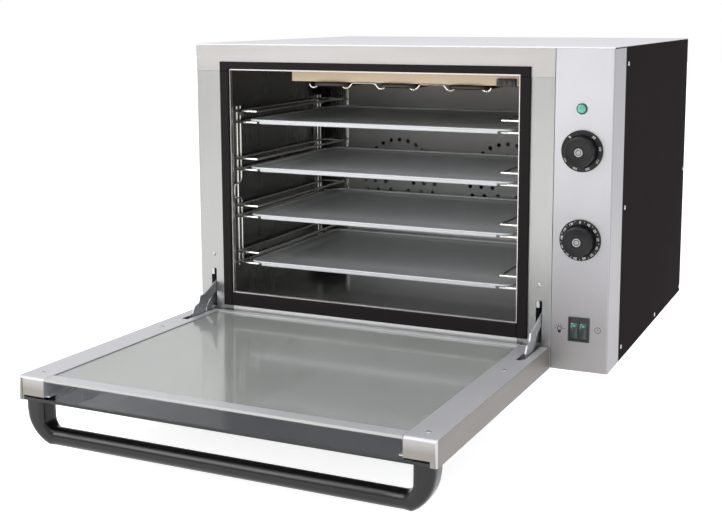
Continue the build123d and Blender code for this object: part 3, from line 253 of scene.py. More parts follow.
# after the colour come a brushed sheet's grain, roughness and streak; in most others the roughness
finishes = {
    "topSteel": brushedSteel("topSteel", (0.60, 0.60, 0.64), "X", 0.52, 0.03, metallic=0.8),
    "frontSteel": brushedSteel("frontSteel", (0.415, 0.40, 0.39), "X", 0.34, 0.09),
    "postSteel": brushedSteel("postSteel", (0.35, 0.348, 0.342), "Z", 0.34, 0.09),
    # painted light: the sill is a paler copy of the front steel, lighter for the light that falls on it
    "sillSteel": brushedSteel("sillSteel", (0.84, 0.82, 0.80), "X", 0.38, 0.05, metallic=0.85),
    "lipSteel": brushedSteel("lipSteel", (0.62, 0.60, 0.58), "X", 0.34, 0.05),
    # painted light and shade: the control panel paler towards its top, darker towards its bottom and darker
    # on its right side return
    "panelSteel": brushedSteel("panelSteel", (0.40, 0.395, 0.42), "Z", 0.42, 0.02, paintedLightBands=[
        (2, 0.50, 0.25, (0.475, 0.47, 0.49)),
        (2, 0.0, 0.30, (0.31, 0.298, 0.298)),
        (0, 0.4166, 0.4158, (0.335, 0.33, 0.36))]),
    # painted light and shade: the door rails' upper faces paler, their end caps at the handle and their
    # outer sides darker
    "doorSteel": brushedSteel("doorSteel", (0.235, 0.22, 0.20), "Y", 0.48, 0.05, metallic=0.62, paintedLightBands=[
        (1, -0.9022, -0.9030, (0.56, 0.56, 0.59)),
        (0, 0.3138, 0.3130, (0.235, 0.215, 0.205)),
        (0, -0.4168, -0.4160, (0.235, 0.215, 0.205))]),
    "wallSteel": brushedSteel("wallSteel", (0.25, 0.25, 0.232), "Z", 0.28, 0.015, depth=0.00001),
    # painted light: the fan baffle a little paler below its middle and much paler at its foot, where light
    # reaches it
    "baffleSteel": brushedSteel("baffleSteel", (0.26, 0.255, 0.245), "Z", 0.42, 0.04, metallic=0.5, paintedLightBands=[
        (2, 0.25, 0.31, (0.29, 0.29, 0.28)),
        (2, 0.12, 0.17, (0.95, 0.95, 0.93))]),
    "floorSteel": brushedSteel("floorSteel", (0.78, 0.775, 0.76), "X", 0.12, 0.05, metallic=0.9),
    "zincSteel": castMetal("zincSteel", (0.56, 0.57, 0.58), 0.42),
    "hingeSteel": castMetal("hingeSteel", (0.50, 0.52, 0.54), 0.42, metallic=0.75),
    "screwSteel": castMetal("screwSteel", (0.50, 0.50, 0.50), 0.28),
    "emblemSteel": castMetal("emblemSteel", (0.34, 0.34, 0.35), 0.4),
    "sideCoat": powderCoat("sideCoat", (0.0165, 0.0120, 0.0135), 0.7, gloss=0.01),
    "sealRubber": siliconeRubber("sealRubber", (0.0075, 0.0062, 0.0070), 0.7, gloss=0.12),
    "footRubber": siliconeRubber("footRubber", (0.02, 0.02, 0.02), 0.7),
    "wireSteel": castMetal("wireSteel", (0.86, 0.85, 0.80), 0.20),
    # painted light: the trays take a paler tint behind y = -0.23, fading to their own grey at the front edge
    # by y = -0.29
    "trayMetal": brushedSteel("trayMetal", (0.52, 0.535, 0.55), "X", 0.5, 0.04, metallic=0.45, paintedLightBands=[
        (1, -0.23, -0.29, (0.92, 0.94, 0.98))]),
    "fanMetal": castMetal("fanMetal", (0.50, 0.50, 0.50), 0.45),
    "motorPaint": powderCoat("motorPaint", (0.09, 0.09, 0.10), 0.5),
    "elementSteel": castMetal("elementSteel", (0.05, 0.045, 0.04), 0.5, metallic=0.7),
    "bandSteel": castMetal("bandSteel", (0.46, 0.37, 0.26), 0.45, metallic=0.6),
    "wool": woolFibre("wool", (0.55, 0.48, 0.30)),
    "clearGlass": sheetGlass("clearGlass", (0.90, 0.94, 0.91)),
    # partly haze, partly painted reflection: the door's inner glass is pale and partly cloudy for the bright
    # surroundings it mirrors
    "doorGlass": sheetGlass("doorGlass", (0.74, 0.765, 0.74), roughness=0.10, clear=0.72),
    "tintedGlass": sheetGlass("tintedGlass", (0.105, 0.11, 0.12)),
    "knobBlack": mouldedPlastic("knobBlack", (0.010, 0.010, 0.011), 0.30, gloss=0.22),
    "handleBlack": mouldedPlastic("handleBlack", (0.0035, 0.0035, 0.004), 0.20, gloss=0.38),
    "creamPlastic": mouldedPlastic("creamPlastic", (0.55, 0.53, 0.46), 0.5),
    "dialWhite": mouldedPlastic("dialWhite", (0.80, 0.80, 0.80), 0.45),
    "printBlack": mouldedPlastic("printBlack", (0.012, 0.012, 0.012), 0.6, gloss=0.2),
    "printGrey": mouldedPlastic("printGrey", (0.10, 0.09, 0.09), 0.6, gloss=0.2),
    "switchBlack": mouldedPlastic("switchBlack", (0.018, 0.022, 0.024), 0.3, gloss=0.4),
    "rockerBody": mouldedPlastic("rockerBody", (0.022, 0.032, 0.032), 0.22),
    # the indicator's own lamp glow; on the rockers' spots the same glow is a painted glint
    "greenLens": lensPlastic("greenLens", (0.05, 0.34, 0.24), (0.005, 0.07, 0.055), glow=0.12),
    # painted glint: the rocker lenses glow faintly for the light they catch
    "rockerLens": lensPlastic("rockerLens", (0.01, 0.10, 0.075), (0.002, 0.03, 0.025), glow=0.05),
}

partFinish = {
    "topSteel": "top_cover",
    "frontSteel": "front_header",
    "sillSteel": "front_bottom_rail",
    "lipSteel": "mouth_lip",
    "postSteel": "front_post_left front_post_right",
    "panelSteel": "control_panel",
    "doorSteel": "door_rails door_strips",
    "wallSteel": "chamber_left_wall chamber_right_wall chamber_roof chamber_rear_wall",
    "baffleSteel": "fan_baffle",
    "floorSteel": "chamber_floor",
    "zincSteel": "base_pan rear_panel control_bulkhead glass_clips oven_lamp chamber_studs",
    "hingeSteel": "hinge_boxes door_clevises stay_arm_left stay_arm_right",
    "screwSteel": "case_screws door_screws",
    "sideCoat": "left_side_panel right_side_panel",
    "sealRubber": "door_seal door_bedding",
    "footRubber": "rubber_feet",
    "wireSteel": "rack_left rack_right",
    "trayMetal": "tray_1 tray_2 tray_3 tray_4",
    "fanMetal": "fan_left fan_right",
    "motorPaint": "fan_motors",
    "elementSteel": "ring_heaters grill_element",
    "bandSteel": "grill_brackets",
    "wool": "insulation",
    "clearGlass": "lamp_glass",
    "doorGlass": "door_inner_glass",
    "tintedGlass": "door_outer_glass",
    "knobBlack": "thermostat_knob timer_knob cable_gland",
    "switchBlack": "switch_housing",
    "handleBlack": "handle_bar handle_ends",
    "creamPlastic": "thermostat_body timer_body terminal_block",
    "greenLens": "indicator_lamp",
    "rockerBody": "light_rocker power_rocker",
}
for finishName, partNames in partFinish.items():
    for partName in partNames.split():
        for slot in nodes[partName].material_slots:
            slot.material = finishes[finishName].material
print("materials made:", len(finishes))


def addBlock(shape, low, high):
    made = bmesh.ops.create_cube(shape, size=1.0)["verts"]
    bmesh.ops.scale(shape, vec=[h - l for l, h in zip(low, high)], verts=made)
    bmesh.ops.translate(shape, vec=[(h + l) / 2 for l, h in zip(low, high)], verts=made)
    return made


def edgesOf(verts):
    return list({edge for vert in verts for edge in vert.link_edges})


def soften(shape, edges, width, segments=2):
    bmesh.ops.bevel(shape, geom=edges, offset=width, offset_type="OFFSET", affect="EDGES",
                    segments=segments, profile=0.5, material=-1, clamp_overlap=True)


def roundBlock(shape, low, high, width, segments=2):
    soften(shape, edgesOf(addBlock(shape, low, high)), width, segments)


weld = {"spun": 1e-7, "piece": 1e-6}  # corners closer than this become one


def addSpun(shape, profile, place, steps):
    # turns a profile of (radius, reach) pairs about -Y, then puts it in its place
    before = set(shape.verts)
    line = [shape.verts.new((radius, -reach, 0)) for radius, reach in profile]
    edges = [shape.edges.new(pair) for pair in zip(line, line[1:])]
    bmesh.ops.spin(shape, geom=line + edges, cent=(0, 0, 0), axis=(0, 1, 0), angle=math.tau, steps=steps,
                   use_merge=True)
    made = [vert for vert in shape.verts if vert not in before]
    bmesh.ops.remove_doubles(shape, verts=made, dist=weld["spun"])
    made = [vert for vert in shape.verts if vert not in before]
    bmesh.ops.transform(shape, matrix=place, verts=made)
    return made


def addWires(shape, wires, thickness, corner, sides, closed=False):
    # round wires through lists of points, each corner bent to a radius
    curve = bpy.data.curves.new("wires", "CURVE")
    curve.dimensions = "3D"
    curve.bevel_depth = thickness / 2
    curve.bevel_resolution = sides
    curve.resolution_u = 5
    curve.use_fill_caps = True
    pull = 0.45  # a bend's handles stop this share of its radius short of the corner
    for wire in wires:
        points = [Vector(point) for point in wire]
        bends = []
        for index, point in enumerate(points):
            if not closed and index in (0, len(points) - 1):
                bends.append((point, point, point))
                continue
            before = (points[index - 1] - point).normalized() * corner
            after = (points[(index + 1) % len(points)] - point).normalized() * corner
            bends.append((point + before, point + before, point + before * pull))
            bends.append((point + after, point + after * pull, point + after))
        line = curve.splines.new("BEZIER")
        line.bezier_points.add(len(bends) - 1)
        line.use_cyclic_u = closed
        for knot, (middle, left, right) in zip(line.bezier_points, bends):
            knot.handle_left_type = knot.handle_right_type = "FREE"
            knot.co, knot.handle_left, knot.handle_right = middle, left, right
    drawn = bpy.data.objects.new("wires", curve)
    bpy.context.collection.objects.link(drawn)
    graph = bpy.context.evaluated_depsgraph_get()
    mesh = bpy.data.meshes.new_from_object(drawn.evaluated_get(graph))
    shape.from_mesh(mesh)
    bpy.data.objects.remove(drawn)
    bpy.data.meshes.remove(mesh)


def addLabel(shape, words, size, depth, place):
    # raised figures, made a mesh before their place is applied
    letters = bpy.data.curves.new("letters", "FONT")
    letters.body = words
    letters.size = size
    letters.extrude = depth / 2
    letters.resolution_u = 3
    letters.align_x, letters.align_y = "CENTER", "CENTER"
    drawn = bpy.data.objects.new("letters", letters)
    bpy.context.collection.objects.link(drawn)
    graph = bpy.context.evaluated_depsgraph_get()
    mesh = bpy.data.meshes.new_from_object(drawn.evaluated_get(graph))
    mesh.transform(place)
    shape.from_mesh(mesh)
    bpy.data.objects.remove(drawn)
    bpy.data.meshes.remove(mesh)


def makePiece(name, shape, finishName, body, stands=(), sharp=35):
    # makes the bmesh a piece that rides on its body and stands for the named parts
    bmesh.ops.remove_doubles(shape, verts=shape.verts, dist=weld["piece"])
    bmesh.ops.recalc_face_normals(shape, faces=shape.faces)
    mesh = bpy.data.meshes.new(name)
    shape.to_mesh(mesh)
    shape.free()
    mesh.materials.append(finishes[finishName].material)
    mesh.shade_smooth()
    mesh.set_sharp_from_angle(angle=math.radians(sharp))
    piece = bpy.data.objects.new(name, mesh)
    bpy.context.collection.objects.link(piece)
    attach(piece, body)
    if stands:
        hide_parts(*stands)


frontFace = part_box("control_panel")[0][1]


def frontPlace(x, z, y=frontFace):
    # a place on the front, with the viewer on the -Y side
    return Matrix.Translation((x, y, z))


def frontMiddle(partName):
    # x and z of the middle of a part's box
    low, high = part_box(partName)
    return (low[0] + high[0]) / 2, (low[2] + high[2]) / 2


def islands(partName):
    # the box of each separate solid of a part
    shape = bmesh.new()
    shape.from_mesh(nodes[partName].data)
    bmesh.ops.remove_doubles(shape, verts=shape.verts, dist=weld["piece"])
    boxes, left = [], set(shape.verts)
    while left:
        front = [left.pop()]
        group = list(front)
        while front:
            near = [edge.other_vert(vert) for vert in front for edge in vert.link_edges]
            front = list({vert for vert in near if vert in left})
            left.difference_update(front)
            group += front
        places = [[vert.co[axis] for vert in group] for axis in range(3)]
        boxes.append([(min(place), max(place)) for place in places])
    shape.free()
    return boxes


minuteTurn = 2.75  # degrees of the timer dial for a minute
dial = {
    "steps": 96,
    "skirt": [(0.0, 0.0), (0.0358, 0.0), (0.0365, 0.0006), (0.0365, 0.0026), (0.0354, 0.0037),
              (0.0286, 0.0038), (0.0272, 0.0030), (0.0266, 0.0030)],
    "cap": [(0.0266, 0.0050), (0.0263, 0.0180), (0.0258, 0.0250), (0.0250, 0.0272), (0.0236, 0.0279),
            (0.0215, 0.0278), (0.0195, 0.0270), (0.0100, 0.0269), (0.0092, 0.0262), (0.0, 0.0262)],
    "ring": [(0.0074, 0.0262), (0.0074, 0.0270), (0.0070, 0.0274), (0.0053, 0.0274), (0.0049, 0.0270),
             (0.0049, 0.0262)],
    "ringSteps": 48,
    "boss": [(0.0038, 0.0262), (0.0036, 0.0267), (0.0, 0.0268)],
    "bossSteps": 32,
    "ribRadius": (0.0255, 0.0268),  # the band of the grip's side that the ribs take in
    "ribReach": (0.0045, 0.026),
    "ribPinch": 0.984,
    "figureRadius": 0.0320,
    "figureReach": 0.0039,
    "figureSize": 0.0062,
    "figureDepth": 0.0003,
    "threeFigures": 0.82,  # numbers of three figures are smaller
    "dot": [(0.0, 0.0036), (0.0006, 0.0036), (0.0006, 0.0040), (0.0, 0.0040)],
    "dotSteps": 10,
    "dotRadius": 0.0338,
    "dotTurn": minuteTurn * 5,
}
dialMarks = {
    "thermostat_knob": [("50", 40), ("100", 80), ("150", 120), ("200", 160), ("250", 200), ("300", 240),
                        ("0", 318)],
    "timer_knob": [(str(minutes), minutes * minuteTurn) for minutes in range(0, 121, 10)],
}


def makeCap(body, place):
    # skirt and grip in one, with every second line of the grip's side drawn in as a rib's hollow
    cap = bmesh.new()
    addSpun(cap, dial["skirt"] + dial["cap"], Matrix(), dial["steps"])
    inner, outer = dial["ribRadius"]
    near, far = dial["ribReach"]
    for vert in cap.verts:
        radius = math.hypot(vert.co.x, vert.co.z)
        turn = round(math.atan2(vert.co.z, vert.co.x) / math.tau * dial["steps"])
        if inner < radius < outer and near < -vert.co.y < far and turn % 2:
            vert.co.x *= dial["ribPinch"]
            vert.co.z *= dial["ribPinch"]
    bmesh.ops.transform(cap, matrix=place, verts=cap.verts)
    makePiece(body + "Grip", cap, "knobBlack", body, [body], sharp=28)


def makeFigures(body, x, back, z):
    # the numbers around the skirt, and on the timer a dot after each
    figures = bmesh.new()
    for words, degrees in dialMarks[body]:
        turn = math.radians(degrees)
        out = Vector((math.sin(turn), 0, math.cos(turn)))
        side = Vector((math.cos(turn), 0, -math.sin(turn)))
        centre = Vector((x, back - dial["figureReach"], z)) + out * dial["figureRadius"]
        stand = Matrix((side, out, Vector((0, -1, 0)))).transposed().to_4x4()
        size = dial["figureSize"] * (dial["threeFigures"] if len(words) > 2 else 1.0)
        addLabel(figures, words, size, dial["figureDepth"], Matrix.Translation(centre) @ stand)
        if body == "timer_knob":
            half = math.radians(degrees + dial["dotTurn"])
            away = dial["dotRadius"]
            dot = Matrix.Translation((x + math.sin(half) * away, back, z + math.cos(half) * away))
            addSpun(figures, dial["dot"], dot, dial["dotSteps"])
    makePiece(body + "Figures", figures, "dialWhite", body)


def makeKnob(body):
    # centred on its node and standing on the node's back
    x, z = frontMiddle(body)
    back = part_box(body)[1][1]
    place = frontPlace(x, z, back)
    makeCap(body, place)
    ring = bmesh.new()
    addSpun(ring, dial["ring"], place, dial["ringSteps"])
    addSpun(ring, dial["boss"], place, dial["bossSteps"])
    makePiece(body + "Ring", ring, "emblemSteel", body)
    makeFigures(body, x, back, z)


for knobBody in dialMarks:
    makeKnob(knobBody)
print("knobs made")


indicator = {
    "place": (0.362, 0.466),
    "steps": 48,
    "bezel": [(0.0, 0.0), (0.0095, 0.0), (0.0095, 0.0020), (0.0090, 0.0028), (0.0084, 0.0028),
              (0.0081, 0.0016), (0.0, 0.0016)],
    "lens": [(0.0081, 0.0016), (0.0080, 0.0034), (0.0072, 0.0046), (0.0050, 0.0053), (0.0, 0.0055)],
}


def makeIndicator():
    place = frontPlace(*indicator["place"])
    bezel = bmesh.new()
    addSpun(bezel, indicator["bezel"], place, indicator["steps"])
    makePiece("indicatorBezel", bezel, "switchBlack", "case", ["indicator_lamp"])
    lens = bmesh.new()
    addSpun(lens, indicator["lens"], place, indicator["steps"])
    makePiece("indicatorLens", lens, "greenLens", "case")


makeIndicator()


# the plate, rim and lens count from the front face towards the viewer, the outline and pivot inwards
switch = {
    "plate": 0.0006,
    "rimBack": 0.0005,
    "proud": 0.0025,
    "rim": 0.0028,
    "bar": 0.0009,  # half the bar between the rockers
    "plateEdge": 0.0002,
    "rimEdge": 0.0005,
    "rockerWidth": 0.0138,
    "rockerEdge": 0.0007,
    "outline": [(0.009, -0.004), (-0.001, -0.017), (-0.0035, 0.0), (-0.001, 0.017), (0.009, 0.004)],
    "pivot": 0.006,
    "tilt": -9.0,
    "lensInset": 0.0018,
    "lensProud": 0.0036,
    "lensRise": (0.0028, 0.0145),
    "lensEdge": 0.0008,
    "leanAxis": 0.0035,
    "lean": -8.4,
    "spot": (0.0028, 0.0052),
    "spotLens": [(0.0016, 0.0), (0.0016, 0.0007), (0.0011, 0.0011), (0.0, 0.0012)],
    "spotSteps": 20,
}


def turnedAbout(y, z, degrees):
    # a turn about a line along X
    axis = Matrix.Translation((0, y, z))
    return axis @ Matrix.Rotation(math.radians(degrees), 4, "X") @ axis.inverted()


def makeSwitchFrame():
    lowest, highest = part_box("switch_housing")
    w, h = (highest[0] - lowest[0]) / 2, (highest[2] - lowest[2]) / 2
    x, z = frontMiddle("switch_housing")
    rim, bar = switch["rim"], switch["bar"]
    shape = bmesh.new()
    roundBlock(shape, (x - w, frontFace - switch["plate"], z - h), (x + w, frontFace, z + h),
               switch["plateEdge"])
    for low, high in (((-w, h - rim), (w, h)), ((-w, -h), (w, -h + rim)),
                      ((-w, -h + rim), (-w + rim, h - rim)), ((w - rim, -h + rim), (w, h - rim)),
                      ((-bar, -h + rim), (bar, h - rim))):
        roundBlock(shape, (x + low[0], frontFace - switch["proud"], z + low[1]),
                   (x + high[0], frontFace - switch["rimBack"], z + high[1]), switch["rimEdge"])
    makePiece("switchFrame", shape, "switchBlack", "case", ["switch_housing"])


def makeRocker(body):
    # a bent cap tilted on its pivot, a faintly glowing lens let into its upper half and a glowing spot in
    # the lens: painted glints for the light the rocker catches
    middle, z = frontMiddle(body)[0], frontMiddle("switch_housing")[1]
    half, inset = switch["rockerWidth"] / 2, switch["lensInset"]
    tilt = turnedAbout(frontFace + switch["pivot"], z, switch["tilt"])
    leant = tilt @ turnedAbout(frontFace - switch["leanAxis"], z, switch["lean"])
    shape = bmesh.new()
    corners = [shape.verts.new((middle - half, frontFace + y, z + up)) for y, up in switch["outline"]]
    grown = bmesh.ops.extrude_face_region(shape, geom=[shape.faces.new(corners)])["geom"]
    far = [item for item in grown if isinstance(item, bmesh.types.BMVert)]
    bmesh.ops.translate(shape, vec=(half * 2, 0, 0), verts=far)
    soften(shape, list(shape.edges), switch["rockerEdge"])
    bmesh.ops.transform(shape, matrix=tilt, verts=shape.verts)
    makePiece(body + "Cap", shape, "rockerBody", body, [body])
    lens = bmesh.new()
    low, high = switch["lensRise"]
    roundBlock(lens, (middle - half + inset, frontFace - switch["lensProud"], z + low),
               (middle + half - inset, frontFace, z + high), switch["lensEdge"])
    bmesh.ops.transform(lens, matrix=leant, verts=lens.verts)
    makePiece(body + "Lens", lens, "rockerLens", body)
    # painted glint: a small glowing dome in the lens
    lampAndGlint = bmesh.new()
    proud, up = switch["spot"]
    place = leant @ frontPlace(middle, z + up, frontFace - proud)
    addSpun(lampAndGlint, switch["spotLens"], place, switch["spotSteps"])
    makePiece(body + "Lamp", lampAndGlint, "greenLens", body)


makeSwitchFrame()
for rockerBody in ("light_rocker", "power_rocker"):
    makeRocker(rockerBody)


icons = {
    "thickness": 0.00015,
    "line": 0.0011,
    "bulb": (0.3300, 0.0750),
    "bulbRadius": 0.0042,
    "bulbBase": ((-0.0046, 0.0030), (-0.0060, 0.0026), (-0.0074, 0.0019)),  # height and half width
    "baseLow": 0.0007,
    "baseHigh": 0.0008,
    "baseEdge": 0.00005,
    "rayTurns": (-90, -52, -18, 18, 52, 90),
    "rayFrom": 0.0056,
    "rayLength": 0.0032,
    "rayLine": 0.0007,
    "clock": (0.3985, 0.0778),
    "clockRadius": 0.0058,
    "clockHands": (((0, -0.0006), (0, 0.0036)), ((0, 0), (0.0022, -0.0012))),
    "handLine": 0.0009,
    "steps": 40,
}


def addFlatRing(shape, place, outer):
    thick, inner = icons["thickness"], outer - icons["line"]
    profile = [(inner, 0.0), (inner, thick), (outer, thick), (outer, 0.0), (inner, 0.0)]
    addSpun(shape, profile, place, icons["steps"])


def addStroke(shape, place, start, end, width):
    # a flat printed stroke between two points on the panel
    made = addBlock(shape, (-width / 2, -icons["thickness"], 0), (width / 2, 0, math.dist(start, end)))
    lean = math.atan2(end[0] - start[0], end[1] - start[1])
    turn = Matrix.Translation((start[0], 0, start[1])) @ Matrix.Rotation(lean, 4, "Y")
    bmesh.ops.transform(shape, matrix=place @ turn, verts=made)


def makeIcons():
    # a lit bulb beside the light switch and a clock beside the power switch
    bulb = bmesh.new()
    x, z = icons["bulb"]
    place = frontPlace(x, z)
    addFlatRing(bulb, place, icons["bulbRadius"])
    for height, half in icons["bulbBase"]:
        roundBlock(bulb, (x - half, frontFace - icons["thickness"], z + height - icons["baseLow"]),
                   (x + half, frontFace, z + height + icons["baseHigh"]), icons["baseEdge"], segments=1)
    for degrees in icons["rayTurns"]:
        along = (math.sin(math.radians(degrees)), math.cos(math.radians(degrees)))
        start = [icons["rayFrom"] * part for part in along]
        end = [(icons["rayFrom"] + icons["rayLength"]) * part for part in along]
        addStroke(bulb, place, start, end, icons["rayLine"])
    makePiece("bulbIcon", bulb, "printBlack", "case")
    clock = bmesh.new()
    place = frontPlace(*icons["clock"])
    addFlatRing(clock, place, icons["clockRadius"])
    for start, end in icons["clockHands"]:
        addStroke(clock, place, start, end, icons["handLine"])
    makePiece("clockIcon", clock, "printGrey", "case")


makeIcons()
print("controls made")


grip = {
    "legOuter": 0.410,
    "legInner": 0.375,
    "barTop": -0.0374,
    "barLow": -0.0674,
    "foot": 0.0104,
    "heelTop": -0.0018,
    "heelRadius": 0.075,
    "inside": 0.015,
    "middle": -0.0515,
    "legDepth": 0.0395,
    "barDepth": 0.030,
    "y": -0.8766,
    "sides": 40,
    "heelLead": 0.004,  # a ring this far under the heel's start, and one this far before the turn
    "turnLead": 0.001,
    "turns": (8, 18, 28, 38, 48, 58, 66, 72, 75.4, 80, 86, 90),
    "square": 4.5,  # the power of a ring's outline: a rounded box at the feet, a circle in the bar
    "round": 2.0,
    "ease": 1.5,
    "barFrom": -0.330,
}


def gripStations():
    # x, z, width, depth, turn and squareness of each ring from the left foot to the start of the bar
    outer, inner, top, low = -grip["legOuter"], -grip["legInner"], grip["barTop"], grip["barLow"]
    turnX, turnZ = inner + grip["inside"], top + grip["inside"]
    heelX = outer + grip["heelRadius"]
    stations = []
    for z in (grip["foot"], grip["heelTop"] - grip["heelLead"], turnZ + grip["turnLead"]):
        reach = z - grip["heelTop"]
        side = heelX - math.sqrt(grip["heelRadius"] ** 2 - min(reach, 0) ** 2)
        stations.append(((side + inner) / 2, z, inner - side, grip["legDepth"], 0, grip["square"]))
    for degrees in grip["turns"]:
        turn = math.radians(degrees)
        alongX, alongZ = -math.cos(turn), -math.sin(turn)
        fromX, fromZ = turnX - heelX, turnZ - grip["heelTop"]
        half = fromX * alongX + fromZ * alongZ
        arc = -half + math.sqrt(half ** 2 - fromX ** 2 - fromZ ** 2 + grip["heelRadius"] ** 2)
        far = min(arc, (low - turnZ) / alongZ)
        share = degrees / 90
        depth = grip["legDepth"] + (grip["barDepth"] - grip["legDepth"]) * share ** grip["ease"]
        squareness = grip["square"] + (grip["round"] - grip["square"]) * share
        middle = (far + grip["inside"]) / 2
        stations.append((turnX + alongX * middle, turnZ + alongZ * middle, far - grip["inside"], depth,
                         degrees, squareness))
    stations.append((grip["barFrom"], (top + low) / 2, top - low, grip["barDepth"], 90, grip["round"]))
    return stations


def makeGrip():
    # one smooth moulding: rings extruded along a leg, round its heel and along the bar
    left = gripStations()
    middle = 2 * grip["middle"]
    right = [(middle - x, z, width, depth, 180 - degrees, power)
             for x, z, width, depth, degrees, power in reversed(left)]
    shape = bmesh.new()
    ring = bmesh.ops.create_circle(shape, cap_ends=False, segments=grip["sides"], radius=1.0)["verts"]
    shares = [vert.co.copy() for vert in ring]
    edges = list(shape.edges)
    last = None
    for x, z, width, depth, degrees, power in left + right:
        if last:
            grown = bmesh.ops.extrude_edge_only(shape, edges=edges)["geom"]
            edges = [item for item in grown if isinstance(item, bmesh.types.BMEdge)]
            ring = [item for item in grown if isinstance(item, bmesh.types.BMVert)]
            ring.sort(key=lambda vert: last.index(min(last, key=lambda old: (old.co - vert.co).length)))
        turn = Matrix.Rotation(math.radians(-degrees), 3, "Y")
        for vert, share in zip(ring, shares):
            push = (abs(share.x) ** power + abs(share.y) ** power) ** (-1 / power)
            flat = Vector((share.x * push * width / 2, share.y * push * depth / 2, 0))
            vert.co = turn @ flat + Vector((x, grip["y"], z))
        last = list(ring)
    bmesh.ops.holes_fill(shape, edges=[edge for edge in shape.edges if edge.is_boundary], sides=0)
    makePiece("handleGrip", shape, "handleBlack", "door", ["handle_bar", "handle_ends"], sharp=40)


makeGrip()
print("handle made")


band = {
    "rows": (-0.3100, 0.0060),
    "left": -0.2237,
    "right": 0.2358,
    "low": 0.4996,
    "high": 0.5319,
    "sheet": 0.0012,
    "flange": 0.012,
    "edge": 0.0003,
    "legs": 6,
    "wire": 0.0029,
    "wireBend": 0.0032,
    "wireFront": 0.0014,
    "legUnder": 0.4889,
    "dip": [(-0.0105, 0.0062), (-0.0075, 0.0004), (-0.0020, -0.0008), (0.0035, 0.0004), (0.0115, 0.0098)],
    "hookEnd": (0.0080, 0.0060),
}


def legPlaces():
    # x of each leg of the grill tube, which is as thick as its part's box is high
    low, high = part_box("grill_element")
    thickness = high[2] - low[2]
    pitch = (high[0] - low[0] - thickness) / (band["legs"] - 1)
    return [low[0] + thickness / 2 + leg * pitch for leg in range(band["legs"])]


def makeBands():
    # cream strips under the roof, with the bent wires that carry the grill element:
    # one wire under each inner pair of legs and a hook under each end leg
    strips, wires = bmesh.new(), bmesh.new()
    left, right, low, high = (band[key] for key in ("left", "right", "low", "high"))
    legs, dip, (hookAway, hookLift) = legPlaces(), band["dip"], band["hookEnd"]
    rise = [(-away, lift) for away, lift in reversed(dip)]
    bent = [[(legs[1], dip), (legs[2], rise)],
            [(legs[3], dip), (legs[4], rise)],
            [(legs[0], dip[:-1] + [(hookAway, hookLift)])],
            [(legs[-1], [(-hookAway, hookLift)] + rise[1:])]]
    for y in band["rows"]:
        roundBlock(strips, (left, y, low), (right, y + band["sheet"], high), band["edge"])
        roundBlock(strips, (left, y, high - band["sheet"]), (right, y + band["flange"], high),
                   band["edge"])
        lines = [[(leg + away, y - band["wireFront"], band["legUnder"] + lift)
                  for leg, bend in wire for away, lift in bend] for wire in bent]
        addWires(wires, lines, band["wire"], band["wireBend"], sides=2)
    makePiece("grillBands", strips, "bandSteel", "case", ["grill_brackets"])
    makePiece("grillClips", wires, "wireSteel", "case", ["grill_brackets"])


makeBands()


elementBend = {
    "corner": 0.016,
    "block": (0.196, -0.318, 0.4985),
    "blockSize": (0.036, 0.020, 0.0135),
    "blockEdge": 0.001,
    "terminals": 3,
    "terminalPitch": 0.0105,
    "terminalSpan": (0.003, 0.010),
    "terminalRise": (0.0025, 0.011),
    "terminalProud": 0.001,
    "terminalEdge": 0.0004,
}


def makeElement():
    # the tube goes to and fro under the roof, and a dark block stands for its terminals
    low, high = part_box("grill_element")
    half = (high[2] - low[2]) / 2
    points = []
    for leg, x in enumerate(legPlaces()):
        ends = [(x, high[1] - half, low[2] + half), (x, low[1] + half, low[2] + half)]
        points += ends if leg % 2 == 0 else ends[::-1]
    tube = bmesh.new()
    addWires(tube, [points], half * 2, elementBend["corner"], sides=4)
    makePiece("grillTube", tube, "elementSteel", "case", ["grill_element"])
    x, y, z = elementBend["block"]
    wide, deep, tall = elementBend["blockSize"]
    (near, far), (foot, head) = elementBend["terminalSpan"], elementBend["terminalRise"]
    block = bmesh.new()
    roundBlock(block, (x, y, z), (x + wide, y + deep, z + tall), elementBend["blockEdge"])
    for step in range(elementBend["terminals"]):
        along = step * elementBend["terminalPitch"]
        roundBlock(block, (x + near + along, y - elementBend["terminalProud"], z + foot),
                   (x + far + along, y, z + head), elementBend["terminalEdge"])
    makePiece("elementBlock", block, "switchBlack", "case")


makeElement()
print("grill made")


baking = {
    "count": 4,
    "level": 0.003,  # above the part's underside; the other heights count from here
    "corner": 0.022,
    "cornerSteps": 8,
    "bead": 0.0046,
    "beadMiddle": 0.0049,
    "flange": 0.0038,
    "sides": 0.0245,
    "ends": 0.0085,
    # how far in, how high and with what share of the corner each ring of the wall stands
    "wall": ((0.0, 0.0034, 0.9), (0.002, 0.0024, 0.85), (0.008, -0.0012, 0.65), (0.010, -0.0020, 0.6)),
    "sheet": 0.0010,
    "lip": (-0.290, 0.203, -0.0020),
    "lipDepth": (0.0004, 0.0036),
    "lipEdge": 0.0014,
}


def addRoundedLoop(shape, low, high, z, corner, filled=False):
    # a rectangle with rounded corners, as a loop of edges
    made = bmesh.ops.create_grid(shape, x_segments=1, y_segments=1, size=0.5)["verts"]
    bmesh.ops.scale(shape, vec=(high[0] - low[0], high[1] - low[1], 1), verts=made)
    bmesh.ops.translate(shape, vec=((high[0] + low[0]) / 2, (high[1] + low[1]) / 2, z), verts=made)
    before = set(shape.faces) - set(made[0].link_faces)
    bmesh.ops.bevel(shape, geom=made, offset=corner, offset_type="OFFSET", affect="VERTICES",
                    segments=baking["cornerSteps"], profile=0.5, material=-1)
    faces = [face for face in shape.faces if face not in before]
    edges = list({edge for face in faces for edge in face.edges})
    if not filled:
        bmesh.ops.delete(shape, geom=faces, context="FACES_ONLY")
    return edges


